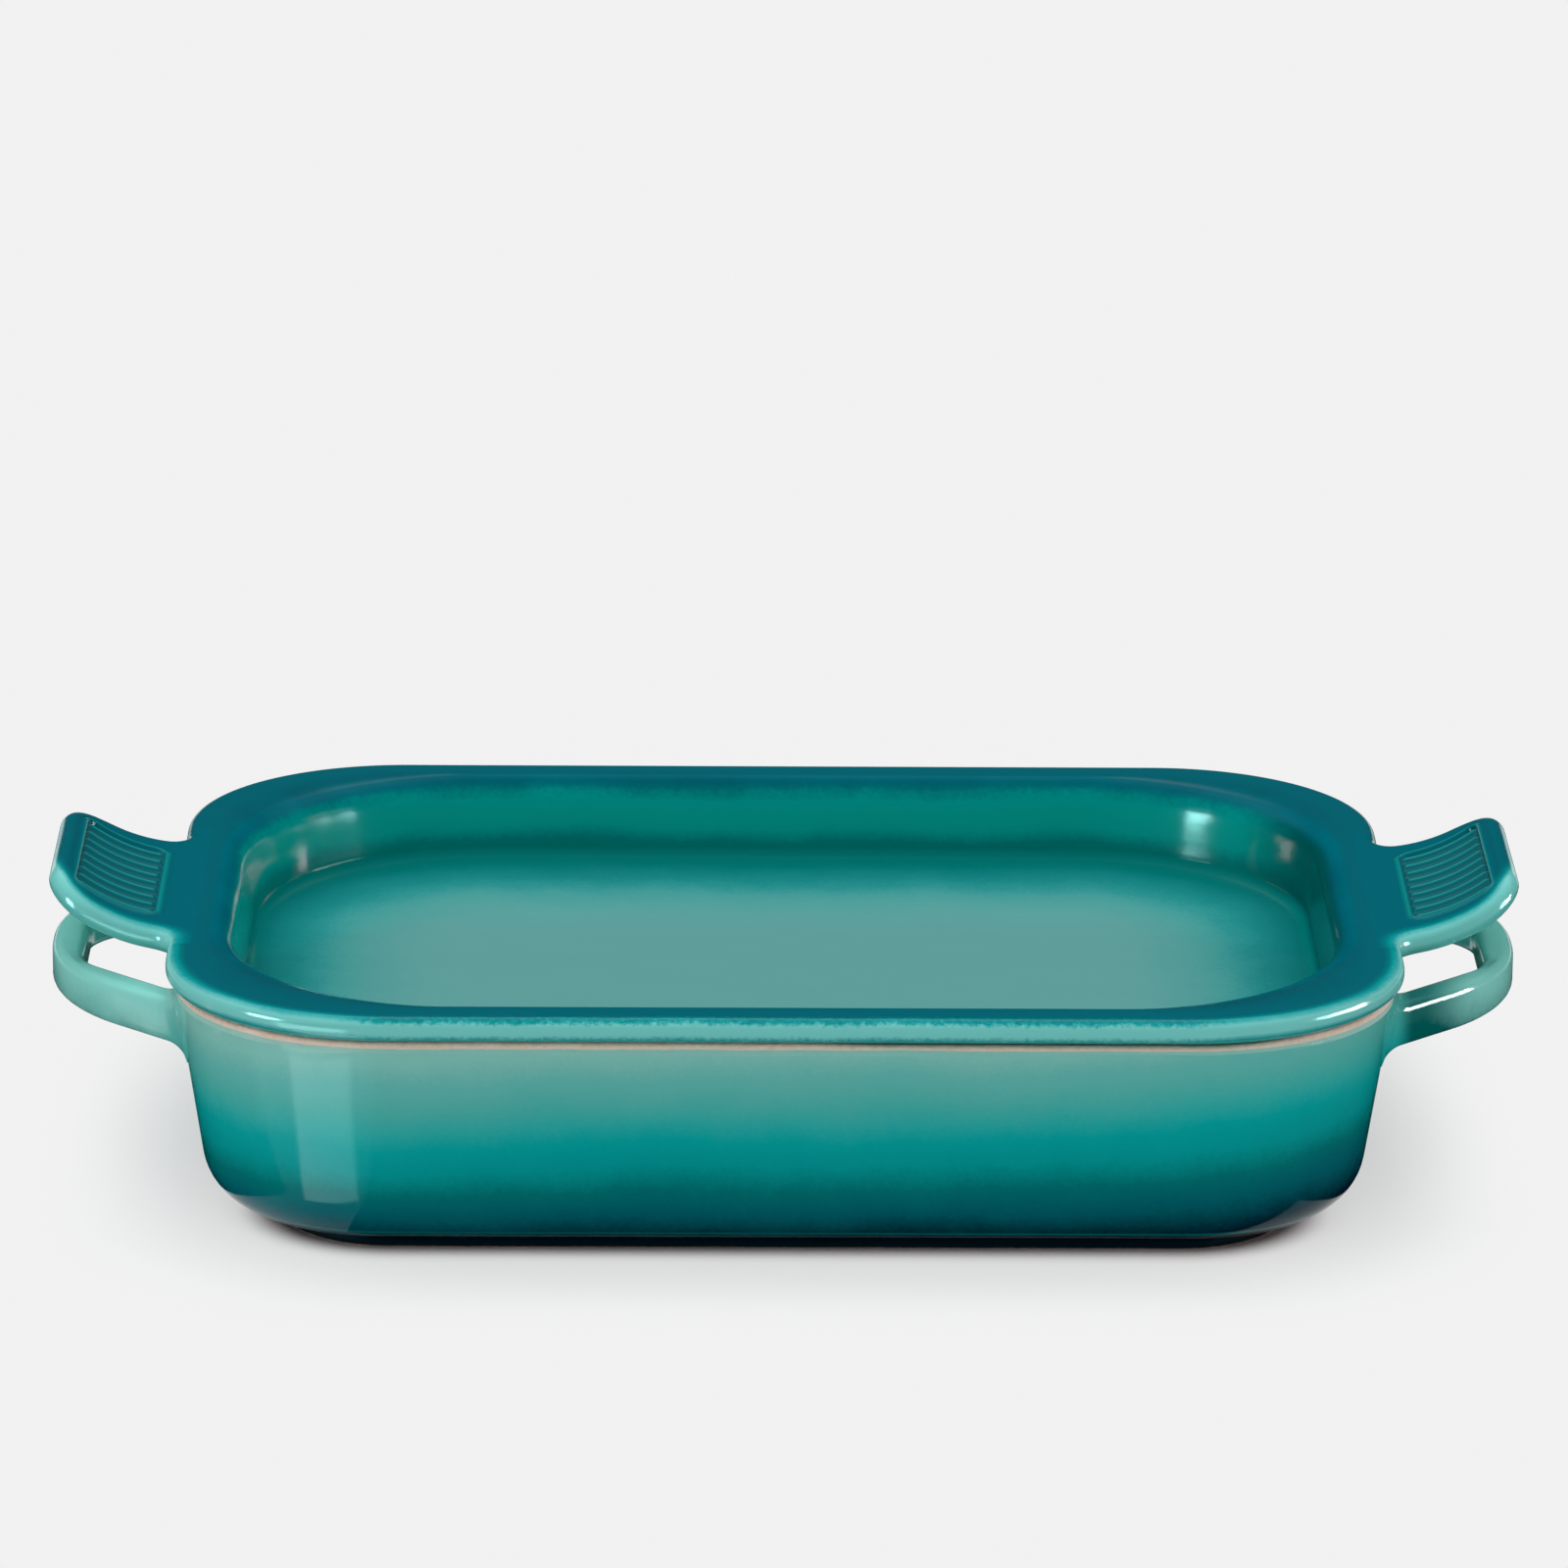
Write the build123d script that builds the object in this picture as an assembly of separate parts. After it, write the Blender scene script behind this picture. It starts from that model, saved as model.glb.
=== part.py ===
from build123d import *
from math import asin, atan2, degrees, radians, tan
import os

# A covered baking dish in two fired stoneware pieces: a deep dish with two
# loop handles, and a lid that also serves as a shallow platter with two
# upturned ribbed grips. The origin is under the middle of the dish, on the
# surface it stands on. X runs from handle to handle and Z is up.

MM = 1.0

# The lid's flange, seen from above
lid_length = 312.0 * MM
lid_width = 224.0 * MM
lid_corner = 56.0 * MM
lid_top = 66.0 * MM
flange_thickness = 6.2 * MM
flange_width = 15.2 * MM
flange_edge_round = 2.8 * MM

# The well sunk into the lid
well_depth = 20.5 * MM
well_corner = 64.0 * MM
well_wall = 5.4 * MM
well_draft_angle = 10.0
well_lip_round = 6.0 * MM
well_inner_round = 3.5 * MM
well_outer_round = 8.0 * MM
well_floor = 6.0 * MM
lid_foot_height = 1.8 * MM
lid_foot_width = 5.0 * MM
lid_foot_inset = 17.0 * MM

# The grips that curl up from the short sides of the lid
grip_bend = 44.0 * MM
grip_bend_setback = 3.0 * MM
grip_sweep_angle = 45.0
grip_side_setback = 72.5 * MM
grip_taper = 5.0 * MM
grip_corner = 12.0 * MM
grip_root_round = 6.0 * MM
grip_split_setback = 6.5 * MM
grip_split_margin = 10.5 * MM

# The sunk panel on each grip and its ribs
panel_gap = 4.4 * MM
panel_length = 19.8 * MM
panel_side_margin = 7.1 * MM
panel_depth = 0.9 * MM
frame_width = 1.3 * MM
frame_height = 0.45 * MM
rib_pitch = 6.15 * MM
rib_side_margin = 2.8 * MM
rib_half_width = 1.4 * MM
rib_height = 0.9 * MM
rib_end_gap = 1.2 * MM

# The dish
dish_inset = 2.4 * MM
dish_wall = 6.0 * MM
dish_draft_angle = 8.8
dish_floor = 7.0 * MM
dish_base = 2.0 * MM
dish_outer_round = 15.0 * MM
dish_inner_round = 12.0 * MM
rim_land_height = 2.5 * MM
rim_land_round = 1.1 * MM
lid_seat_gap = 0.3 * MM

# The foot under the dish, set in further at the ends than along the sides
foot_width = 6.0 * MM
foot_end_inset = 26.4 * MM
foot_side_inset = 17.4 * MM
foot_corner = 29.0 * MM
foot_round = 0.8 * MM
foot_blend = 2.5 * MM

# The loop handles of the dish
handle_reach_out = 34.4 * MM
handle_height = 11.7 * MM
handle_drop = 3.5 * MM
handle_bar = 8.6 * MM
handle_side_setback = 49.6 * MM
handle_tip_width_share = 0.448
handle_nose_flat_share = 0.08
handle_gap_flat_share = 0.65
handle_elbow_round = 11.0 * MM
handle_edge_round = 2.7 * MM
handle_root_round = 2.5 * MM
handle_split_gap = 4.4 * MM

overrun = 20.0 * MM
tolerance = 0.01 * MM
edge_length_slack = 0.3 * MM

# Sizes worked out from the ones above
lid_half_length = lid_length / 2
lid_half_width = lid_width / 2
flange_under = lid_top - flange_thickness
well_half_length = lid_half_length - flange_width
well_half_width = lid_half_width - flange_width
well_floor_level = lid_top - well_depth
well_under = well_floor_level - well_floor
grip_bend_start = lid_half_length - grip_bend_setback
grip_axis_level = lid_top + grip_bend
grip_root_half_width = lid_half_width - grip_side_setback
grip_tip_half_width = grip_root_half_width - grip_taper
grip_split_x = lid_half_length - grip_split_setback
grip_split_half_width = grip_root_half_width + grip_split_margin
panel_start = lid_half_length + panel_gap
panel_end = panel_start + panel_length
panel_half_width = grip_tip_half_width - panel_side_margin
rib_gap_count = round(2 * (panel_half_width - rib_side_margin) / rib_pitch)
dish_half_length = lid_half_length - dish_inset
dish_half_width = lid_half_width - dish_inset
dish_corner = lid_corner - dish_inset
dish_floor_level = dish_base + dish_floor
rim_top = flange_under - lid_seat_gap
wall_top = rim_top - rim_land_height
handle_top = wall_top - handle_drop
handle_bottom = handle_top - handle_height
handle_reach = dish_half_length + handle_reach_out
handle_root_half_width = dish_half_width - handle_side_setback
handle_tip_half_width = handle_root_half_width * handle_tip_width_share
handle_side_run = handle_root_half_width - handle_tip_half_width
handle_split_x = dish_half_length + handle_split_gap


def rounded_face(half_length, half_width, corner, level):
    """A level rounded rectangle, given by its half sizes."""
    return Plane.XY.offset(level) * RectangleRounded(2 * half_length, 2 * half_width, corner)


def tub(half_length, half_width, corner, top, bottom, draft):
    """A solid that narrows downwards from a rounded rectangle at its top."""
    face = rounded_face(half_length, half_width, corner, top)
    return extrude(face, amount=top - bottom, dir=(0, 0, -1), taper=draft)


def edges_at(solid, level):
    """The edges that lie in one level plane."""
    return solid.edges().filter_by_position(Axis.Z, level - tolerance, level + tolerance)


def ring(half_length, half_width, corner, width, bottom, top):
    """A level band of even width that follows a rounded rectangle."""
    outer = rounded_face(half_length, half_width, corner, bottom)
    inner = rounded_face(half_length - width, half_width - width, corner - width, bottom)
    return extrude(outer - inner, amount=top - bottom)


def end_box(from_x, half_width):
    """A tall box that holds everything past one place along the X axis."""
    reach = lid_length - from_x
    return Pos(from_x + reach / 2, 0, 0) * Box(reach, 2 * half_width, 2 * grip_axis_level)


def mirrored(solid):
    """The same solid at the other end of the dish."""
    return mirror(solid, about=Plane.YZ)


# The dish with its rim, foot and handles


def dish_form():
    """The closed outer form of the dish, without its foot."""
    form = tub(dish_half_length, dish_half_width, dish_corner, wall_top, dish_base, dish_draft_angle)
    return fillet(edges_at(form, dish_base), dish_outer_round)


def dish_cavity():
    """The space inside the dish."""
    half_length = dish_half_length - dish_wall
    half_width = dish_half_width - dish_wall
    corner = dish_corner - dish_wall
    cavity = tub(half_length, half_width, corner, wall_top, dish_floor_level, dish_draft_angle)
    return fillet(edges_at(cavity, dish_floor_level), dish_inner_round)


def nose_round(inset, flat_share):
    """The radius that leaves a share of a handle's nose flat, at an inset."""
    half_turn = atan2(handle_reach_out, handle_side_run) / 2
    half_width = handle_tip_half_width - inset * tan(half_turn)
    return half_width * (1 - flat_share) / tan(half_turn)


def handle_plan(inset, flat_share):
    """The outline of one handle's ring, drawn in from its outside by an inset."""
    back_x = dish_half_length - dish_corner
    side = handle_root_half_width
    outline = Polyline(
        (back_x, -side),
        (dish_half_length, -side),
        (handle_reach, -handle_tip_half_width),
        (handle_reach, handle_tip_half_width),
        (dish_half_length, side),
        (back_x, side),
        close=True,
    )
    plan = make_face(outline)
    if inset > 0:
        plan = offset(plan, amount=-inset, kind=Kind.INTERSECTION)
    nose = plan.vertices().sort_by(Axis.X)[-2:]
    plan = fillet(nose, nose_round(inset, flat_share))
    elbows = plan.vertices().sort_by(Axis.X)[:4]
    return fillet(elbows, handle_elbow_round)


def handle_ring():
    """A ring bar with rounded edges, whose inner side lies within the dish."""
    outside = handle_plan(0, handle_nose_flat_share)
    plan = outside - handle_plan(handle_bar, handle_gap_flat_share)
    bar = extrude(Plane.XY.offset(handle_bottom) * plan, amount=handle_height)
    level_edges = edges_at(bar, handle_bottom) + edges_at(bar, handle_top)
    return fillet(level_edges, handle_edge_round)


def dish_core():
    """The dish with both handles run into its wall and a small fillet at each root."""
    form = dish_form()
    right = handle_ring()
    left = mirrored(right)
    core = form + right + left
    roots = new_edges(form, right, left, combined=core)
    return fillet(roots, handle_root_round) - dish_cavity()


def rim_land():
    """The bare rim band that the lid rests on."""
    band = ring(dish_half_length, dish_half_width, dish_corner, dish_wall, wall_top, rim_top)
    return fillet(edges_at(band, rim_top), rim_land_round)


def dish_foot():
    """The standing ring under the dish, up to the dish's curved underside."""
    band = ring(
        dish_half_length - foot_end_inset,
        dish_half_width - foot_side_inset,
        foot_corner,
        foot_width,
        0,
        dish_base + foot_blend,
    )
    return fillet(edges_at(band, 0), foot_round) - dish_form()


# The lid's plate with its well and foot


def is_tab_root(vertex):
    """Whether a corner of the lid's outline lies where a tab leaves the flange."""
    off_x = abs(abs(vertex.X) - lid_half_length)
    off_y = abs(abs(vertex.Y) - grip_root_half_width)
    return off_x < tolerance and off_y < tolerance


def lid_plan():
    """The lid's outline with its two tabs, seen from above."""
    flange = RectangleRounded(lid_length, lid_width, lid_corner)
    tab_reach = grip_bend_start + grip_bend
    outline = Polyline(
        (0, -grip_root_half_width),
        (lid_half_length, -grip_root_half_width),
        (tab_reach, -grip_tip_half_width),
        (tab_reach, grip_tip_half_width),
        (lid_half_length, grip_root_half_width),
        (0, grip_root_half_width),
        close=True,
    )
    tab = make_face(outline)
    plan = flange + tab + mirrored(tab)
    roots = plan.vertices().filter_by(is_tab_root)
    return fillet(roots, grip_root_round)


def bent_half():
    """Half of the lid's plate, flat in the middle and curled up at its end."""
    under_bend = grip_bend + flange_thickness
    under = CenterArc((grip_bend_start, grip_axis_level), under_bend, -90, grip_sweep_angle)
    upper = CenterArc((grip_bend_start, grip_axis_level), grip_bend, -90, grip_sweep_angle)
    flat_under = Line((0, flange_under), under @ 0)
    end = Line(under @ 1, upper @ 1)
    flat_top = Line(upper @ 0, (0, lid_top))
    middle = Line((0, lid_top), (0, flange_under))
    profile = make_face([flat_under, under, end, upper, flat_top, middle])
    return extrude(Plane.XZ * profile, amount=lid_half_width + overrun, both=True)


def is_across(edge):
    """Whether an edge crosses the lid's plate from its upper to its lower face."""
    return abs(edge.length - flange_thickness) < edge_length_slack


def is_tip_corner(edge):
    """Whether an edge crosses the plate at a corner of a tab's tip."""
    return is_across(edge) and abs((edge @ 0.5).X) > panel_end


def is_plate_rim(edge):
    """Whether an edge runs along the outside of the lid's plate, above or below."""
    middle = edge @ 0.5
    is_bend_seam = abs(middle.Y) < tolerance and abs(middle.X) < lid_half_length
    return not is_across(edge) and not is_bend_seam


def lid_plate():
    """The lid's plate with its rounded rim and its two upturned tabs."""
    half = bent_half()
    prism = extrude(lid_plan(), amount=grip_axis_level)
    plate = (half + mirrored(half)) & prism
    plate = fillet(plate.edges().filter_by(is_tip_corner), grip_corner)
    return fillet(plate.edges().filter_by(is_plate_rim), flange_edge_round)


def well_shell():
    """The outer form of the well, hung under the lid's plate."""
    outset = well_wall - flange_thickness * tan(radians(well_draft_angle))
    shell = tub(
        well_half_length + outset,
        well_half_width + outset,
        well_corner + outset,
        flange_under,
        well_under,
        well_draft_angle,
    )
    return fillet(edges_at(shell, well_under), well_outer_round)


def well_space():
    """The space inside the well."""
    space = tub(
        well_half_length, well_half_width, well_corner, lid_top, well_floor_level, well_draft_angle
    )
    return fillet(edges_at(space, well_floor_level), well_inner_round)


def is_well_lip(edge):
    """Whether an edge in the lid's upper face runs round the mouth of the well."""
    middle = edge @ 0.5
    within_length = abs(middle.X) < well_half_length + tolerance
    return within_length and abs(middle.Y) < well_half_width + tolerance


def lid_core():
    """The lid's plate with its well sunk through it."""
    core = lid_plate() + well_shell() - well_space()
    lips = edges_at(core, lid_top).filter_by(is_well_lip)
    return fillet(lips, well_lip_round)


def lid_foot():
    """The ring that the lid stands on when it is used as a platter."""
    drawn_in = (lid_top - well_under) * tan(radians(well_draft_angle)) - well_wall
    inset = drawn_in + lid_foot_inset
    return ring(
        well_half_length - inset,
        well_half_width - inset,
        well_corner - inset,
        lid_foot_width,
        well_under - lid_foot_height,
        well_under,
    )


# The grips with their ribbed panels


def bend_axis():
    """The level line that the right grip curls about."""
    return Axis((grip_bend_start, 0, grip_axis_level), (0, -1, 0))


def bend_angle(x):
    """How far round the bend the grip's upper face is at a place along X."""
    return degrees(asin((x - grip_bend_start) / grip_bend))


def curled(section, start_x, end_x):
    """A solid swept round the bend from one place along X to another."""
    start = bend_angle(start_x)
    sweep = bend_angle(end_x) - start
    return revolve(section.rotate(bend_axis(), start), axis=bend_axis(), revolution_arc=sweep)


def slab_section(half_width, above, below):
    """An upright rectangle about the grip's upper face, at the start of the bend."""
    section = Pos(0, lid_top + (above - below) / 2) * Rectangle(2 * half_width, above + below)
    return Plane.YZ.offset(grip_bend_start) * section


def grip_panel():
    """The space of the sunk panel."""
    section = slab_section(panel_half_width, overrun, panel_depth)
    return curled(section, panel_start, panel_end)


def grip_frame():
    """The low ridge that frames the panel."""
    section = slab_section(panel_half_width + frame_width, frame_height, panel_depth)
    return curled(section, panel_start - frame_width, panel_end + frame_width) - grip_panel()


def grip_rib(y):
    """One rounded rib on the panel's floor, with rounded ends."""
    radius = (rib_half_width**2 + rib_height**2) / (2 * rib_height)
    level = lid_top - panel_depth + rib_height - radius
    section = Plane.YZ.offset(grip_bend_start) * Pos(y, level) * Circle(radius)
    start_x = panel_start + rib_end_gap
    end_x = panel_end - rib_end_gap
    ball = Pos(grip_bend_start, y, level) * Sphere(radius)
    first = ball.rotate(bend_axis(), bend_angle(start_x))
    last = ball.rotate(bend_axis(), bend_angle(end_x))
    return curled(section, start_x, end_x) + first + last


def right_grip(lid):
    """The upturned tab at one end of the lid, with its ribbed panel."""
    grip = lid & end_box(grip_split_x, grip_split_half_width)
    grip = grip + grip_frame() - grip_panel()
    first = -rib_pitch * rib_gap_count / 2
    for place in range(rib_gap_count + 1):
        grip = grip + grip_rib(first + place * rib_pitch)
    return grip


def make_parts():
    """Every node of the dish and its lid, by name."""
    dish = dish_core()
    handle_space = end_box(handle_split_x, lid_half_width)
    handle = dish & handle_space
    lid = lid_core()
    grip_space = end_box(grip_split_x, grip_split_half_width)
    grip = right_grip(lid)
    return {
        "dish_bowl": dish - handle_space - mirrored(handle_space),
        "dish_rim_land": rim_land(),
        "dish_foot_ring": dish_foot(),
        "dish_handle_right": handle,
        "dish_handle_left": mirrored(handle),
        "lid_platter": lid - grip_space - mirrored(grip_space),
        "lid_foot_ring": lid_foot(),
        "lid_grip_right": grip,
        "lid_grip_left": mirrored(grip),
    }


if __name__ == "__main__":
    os.makedirs("parts", exist_ok=True)
    for name, solid in make_parts().items():
        export_step(solid, os.path.join("parts", name + ".step"))
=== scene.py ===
"""A covered stoneware lasagna dish, dressed in its glazes and set on a pale table."""

import logging
import math
from dataclasses import dataclass, field
from enum import Enum
from typing import Union

import bmesh
import bpy
import numpy as np
from mathutils import Matrix, Vector


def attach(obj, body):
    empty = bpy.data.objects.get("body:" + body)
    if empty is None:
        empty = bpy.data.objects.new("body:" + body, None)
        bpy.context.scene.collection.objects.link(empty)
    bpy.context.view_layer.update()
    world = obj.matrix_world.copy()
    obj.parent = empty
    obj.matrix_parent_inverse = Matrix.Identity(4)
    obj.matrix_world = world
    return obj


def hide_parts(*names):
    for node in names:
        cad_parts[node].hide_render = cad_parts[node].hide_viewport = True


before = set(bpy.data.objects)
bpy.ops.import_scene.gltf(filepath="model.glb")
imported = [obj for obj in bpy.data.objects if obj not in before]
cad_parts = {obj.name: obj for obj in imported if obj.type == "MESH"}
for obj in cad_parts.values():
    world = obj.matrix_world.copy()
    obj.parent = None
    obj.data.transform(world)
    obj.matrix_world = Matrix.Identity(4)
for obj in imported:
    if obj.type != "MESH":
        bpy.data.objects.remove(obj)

log = logging.getLogger("lasagna_dish")

Colour = tuple[float, float, float, float]
Stops = tuple[tuple[float, Colour], ...]
Band = tuple[float, float]
Places = list[tuple[float, float]]
Socket = bpy.types.NodeSocket
Value = Union[Socket, float, tuple]


def shade(red: int, green: int, blue: int, level: float = 1.0) -> Colour:
    """Turns a colour read as 0 to 255 into the linear colour of a surface that is lit to a level.

    Args:
        red, green, blue: the colour as it should look, 0 to 255.
        level: how brightly the surface is lit, where 1 is the plain level.

    Returns:
        The linear red, green, blue and an alpha of 1.
    """
    linear = []
    for value in (red, green, blue):
        share = value / 255
        light = share / 12.92 if share <= 0.04045 else ((share + 0.055) / 1.055) ** 2.4
        linear.append(min(light / level, 1.0))
    return (linear[0], linear[1], linear[2], 1.0)


@dataclass(frozen=True)
class Outline:
    """A rectangle with rounded corners in plan.

    Attributes:
        half_length, half_width: half its size in X and in Y, in metres.
        corner: the radius of its corners, in metres.
        corner_steps: the steps in each corner's arc.
        side_steps: the steps along each side.
    """

    half_length: float
    half_width: float
    corner: float
    corner_steps: int = 26
    side_steps: int = 22

    def sizes(self) -> tuple[float, float, float]:
        """Its half length, half width and corner radius.

        Returns:
            The three sizes, in metres.
        """
        return self.half_length, self.half_width, self.corner

    def spots(self, end_shares: np.ndarray | None = None) -> tuple[np.ndarray, np.ndarray]:
        """The outline's columns, anticlockwise, before they have a size.

        A corner column sits at its corner's centre and faces (cos a, sin a), as a runs through a quarter
        turn. A side column sits between two centres. The centres are at plus or minus 1 in X and Y.

        Args:
            end_shares: places of the columns on the two end sides, 0 to 1, where they aren't evenly
                spaced.

        Returns:
            Spots and facings, one row each.
        """
        signs = np.array([[1, 1], [-1, 1], [-1, -1], [1, -1]])
        even = np.linspace(0.0, 1.0, self.side_steps + 1)[1:-1]
        spots, facings = [], []
        for quarter in range(4):
            turn = np.linspace(quarter, quarter + 1, self.corner_steps + 1) * np.pi / 2
            facing = np.stack([np.cos(turn), np.sin(turn)], -1)
            share = (even if end_shares is None or quarter % 2 == 0 else end_shares)[:, None]
            spots += [np.repeat(signs[quarter][None], len(turn), 0),
                      signs[quarter] + share * (signs[(quarter + 1) % 4] - signs[quarter])]
            facings += [facing, np.repeat(facing[-1:], len(share), 0)]
        return np.concatenate(spots), np.concatenate(facings)

    def loop(self) -> tuple[np.ndarray, np.ndarray]:
        """The outline's points, and the outward direction at each.

        A point is its spot times the corner centres' place, plus the corner radius times its facing.

        Returns:
            Points and directions, one row each.
        """
        spots, facing = self.spots()
        centre = np.array([self.half_length - self.corner, self.half_width - self.corner])
        return spots * centre + self.corner * facing, facing


DISH_WALL = Outline(0.1536, 0.1096, 0.0536)
DISH_FOOT = Outline(0.1272, 0.0922, 0.029)
LID_FLANGE = Outline(0.156, 0.112, 0.056, 40, 24)
WELL_MOUTH = Outline(0.1408, 0.0968, 0.064)
# painted shade: narrower than the mouth, so the well floor's dark rim band is wider at the sides
FLOOR_REFLECTION_AND_SHADE_OUTLINE = Outline(0.1388, 0.0968, 0.064)
PLATTER_FOOT = Outline(0.12453, 0.08053, 0.04773)
WALL_TOP = 0.057
WALL_LEAN = math.tan(math.radians(8.8))
PLATE_UNDERSIDE, PLATE_TOP = 0.0598, 0.066
HALF_PLATE = 0.0031
BEND_LINE, BEND_AXIS, BEND_RADIUS = 0.153, 0.110, 0.0471
PLAIN_GLOSS = 0.5
RIM_GLAZE = shade(112, 170, 161, 0.65)


class Sum(Enum):
    """The sums that the glaze formulas use, by the names of the shader's math node."""

    ADD = "ADD"
    TAKE = "SUBTRACT"
    TIMES = "MULTIPLY"
    OVER = "DIVIDE"
    LEAST = "MINIMUM"
    MOST = "MAXIMUM"
    ROOT = "SQRT"
    SIZE = "ABSOLUTE"
    OVER_LIMIT = "GREATER_THAN"


@dataclass(frozen=True)
class Clouds:
    """A cloud noise.

    Attributes:
        scale: how many clouds there are to a metre.
        detail: how many finer layers it has.
        rough: how strong each finer layer is.
    """

    scale: float
    detail: float
    rough: float


@dataclass
class Graph:
    """A shader tree that is written one node at a time."""

    tree: bpy.types.NodeTree

    def node(self, kind: str, **settings: object) -> bpy.types.Node:
        """Adds a node and sets its properties.

        Args:
            kind: the node's type.
            settings: its properties by name.

        Returns:
            The node.
        """
        made = self.tree.nodes.new(kind)
        for name, value in settings.items():
            setattr(made, name, value)
        return made

    def feed(self, socket: Socket, value: Value) -> None:
        """Joins another node's output to a socket, or writes a constant in it.

        Args:
            socket: the socket that is fed.
            value: an output, a number or a colour.
        """
        if isinstance(value, Socket):
            self.tree.links.new(value, socket)
        else:
            socket.default_value = value

    def group(self, tree: bpy.types.NodeTree, values: dict[str, Value]) -> bpy.types.Node:
        """Places a shared effect with its own values.

        Args:
            tree: the effect.
            values: what its inputs get, by name.

        Returns:
            The group node.
        """
        made = self.node("ShaderNodeGroup", node_tree=tree)
        for name, value in values.items():
            self.feed(made.inputs[name], value)
        return made

    def sum(self, kind: Sum, first: Value, second: Value = 0.0, clamp: bool = False) -> Socket:
        """One sum of two values.

        Args:
            kind: which sum it is.
            first, second: the values; a sum of one value leaves the second alone.
            clamp: whether the result is held between 0 and 1.

        Returns:
            The result.
        """
        made = self.node("ShaderNodeMath", operation=kind.value, use_clamp=clamp)
        self.feed(made.inputs[0], first)
        self.feed(made.inputs[1], second)
        return made.outputs[0]

    def point(self) -> Socket:
        """The place on the piece, in metres, in the object's own coordinates.

        Returns:
            The place.
        """
        return self.node("ShaderNodeTexCoord").outputs["Object"]

    def split(self, vector: Socket) -> tuple[Socket, Socket, Socket]:
        """A vector's X, Y and Z.

        Args:
            vector: the vector.

        Returns:
            The three numbers.
        """
        made = self.node("ShaderNodeSeparateXYZ")
        self.feed(made.inputs[0], vector)
        return made.outputs[0], made.outputs[1], made.outputs[2]

    def place(self) -> tuple[Socket, Socket, Socket]:
        """X, Y and Z of the place on the piece.

        Returns:
            The three numbers, in metres.
        """
        return self.split(self.point())

    def marked(self, attribute: str) -> Socket:
        """A number that the mesh carries at its points.

        Args:
            attribute: the number's name on the mesh.

        Returns:
            The number.
        """
        return self.node("ShaderNodeAttribute", attribute_name=attribute).outputs["Fac"]

    def noise(self, vector: Socket, clouds: Clouds) -> Socket:
        """A cloud noise about 0, between about -0.3 and 0.3.

        Args:
            vector: the place.
            clouds: its scale and detail.

        Returns:
            The noise less its middle of 0.5.
        """
        made = self.node("ShaderNodeTexNoise", noise_dimensions="3D")
        self.feed(made.inputs["Vector"], vector)
        made.inputs["Scale"].default_value = clouds.scale
        made.inputs["Detail"].default_value = clouds.detail
        made.inputs["Roughness"].default_value = clouds.rough
        return self.sum(Sum.TAKE, made.outputs["Fac"], 0.5)

    def spread(self, value: Value, low: float, high: float, to_low: float = 0.0, to_high: float = 1.0,
               soft: bool = True) -> Socket:
        """Carries a value from one range to another, and holds it at both ends.

        Args:
            value: the value.
            low, high: the range that it is carried from.
            to_low, to_high: the range that it is carried to.
            soft: whether it starts and ends softly.

        Returns:
            The carried value.
        """
        made = self.node("ShaderNodeMapRange", interpolation_type="SMOOTHSTEP" if soft else "LINEAR")
        for name, item in zip(("Value", "From Min", "From Max", "To Min", "To Max"),
                              (value, low, high, to_low, to_high)):
            self.feed(made.inputs[name], item)
        return made.outputs["Result"]

    def ramp(self, value: Socket, stops: Stops) -> Socket:
        """A run of colours along a value.

        Args:
            value: the value, 0 to 1.
            stops: places along it and their colours.

        Returns:
            The colour.
        """
        made = self.node("ShaderNodeValToRGB")
        bar = made.color_ramp.elements
        while len(bar) < len(stops):
            bar.new(0.5)
        for item, (place, colour) in zip(bar, stops):
            item.position = place
            item.color = colour
        self.feed(made.inputs[0], value)
        return made.outputs["Color"]

    def mix(self, share: Socket, first: Value, second: Value) -> Socket:
        """The first colour going over to the second as the share rises.

        Args:
            share: 0 for the first colour, 1 for the second.
            first, second: the colours.

        Returns:
            The mixed colour.
        """
        made = self.node("ShaderNodeMix", data_type="RGBA")
        self.feed(made.inputs[0], share)
        self.feed(made.inputs[6], first)
        self.feed(made.inputs[7], second)
        return made.outputs[2]

    def plan_distance(self, point: Socket, half_length: Value, half_width: Value, corner: Value) -> Socket:
        """Distance in plan from a rectangle with rounded corners, below 0 inside it.

        With q = |place| - half size + corner, it is length(max(q, 0)) + min(max(qx, qy), 0) - corner.

        Args:
            point: the place.
            half_length, half_width, corner: the rectangle's sizes, in metres.

        Returns:
            The distance, in metres.
        """
        x, y, _ = self.split(point)
        q = []
        for part, half in ((x, half_length), (y, half_width)):
            inner = self.sum(Sum.TAKE, half, corner)
            q.append(self.sum(Sum.TAKE, self.sum(Sum.SIZE, part), inner))
        past = [self.sum(Sum.MOST, item, 0.0) for item in q]
        squares = [self.sum(Sum.TIMES, item, item) for item in past]
        away = self.sum(Sum.ROOT, self.sum(Sum.ADD, *squares))
        inside = self.sum(Sum.LEAST, self.sum(Sum.MOST, *q), 0.0)
        return self.sum(Sum.TAKE, self.sum(Sum.ADD, away, inside), corner)


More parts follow.
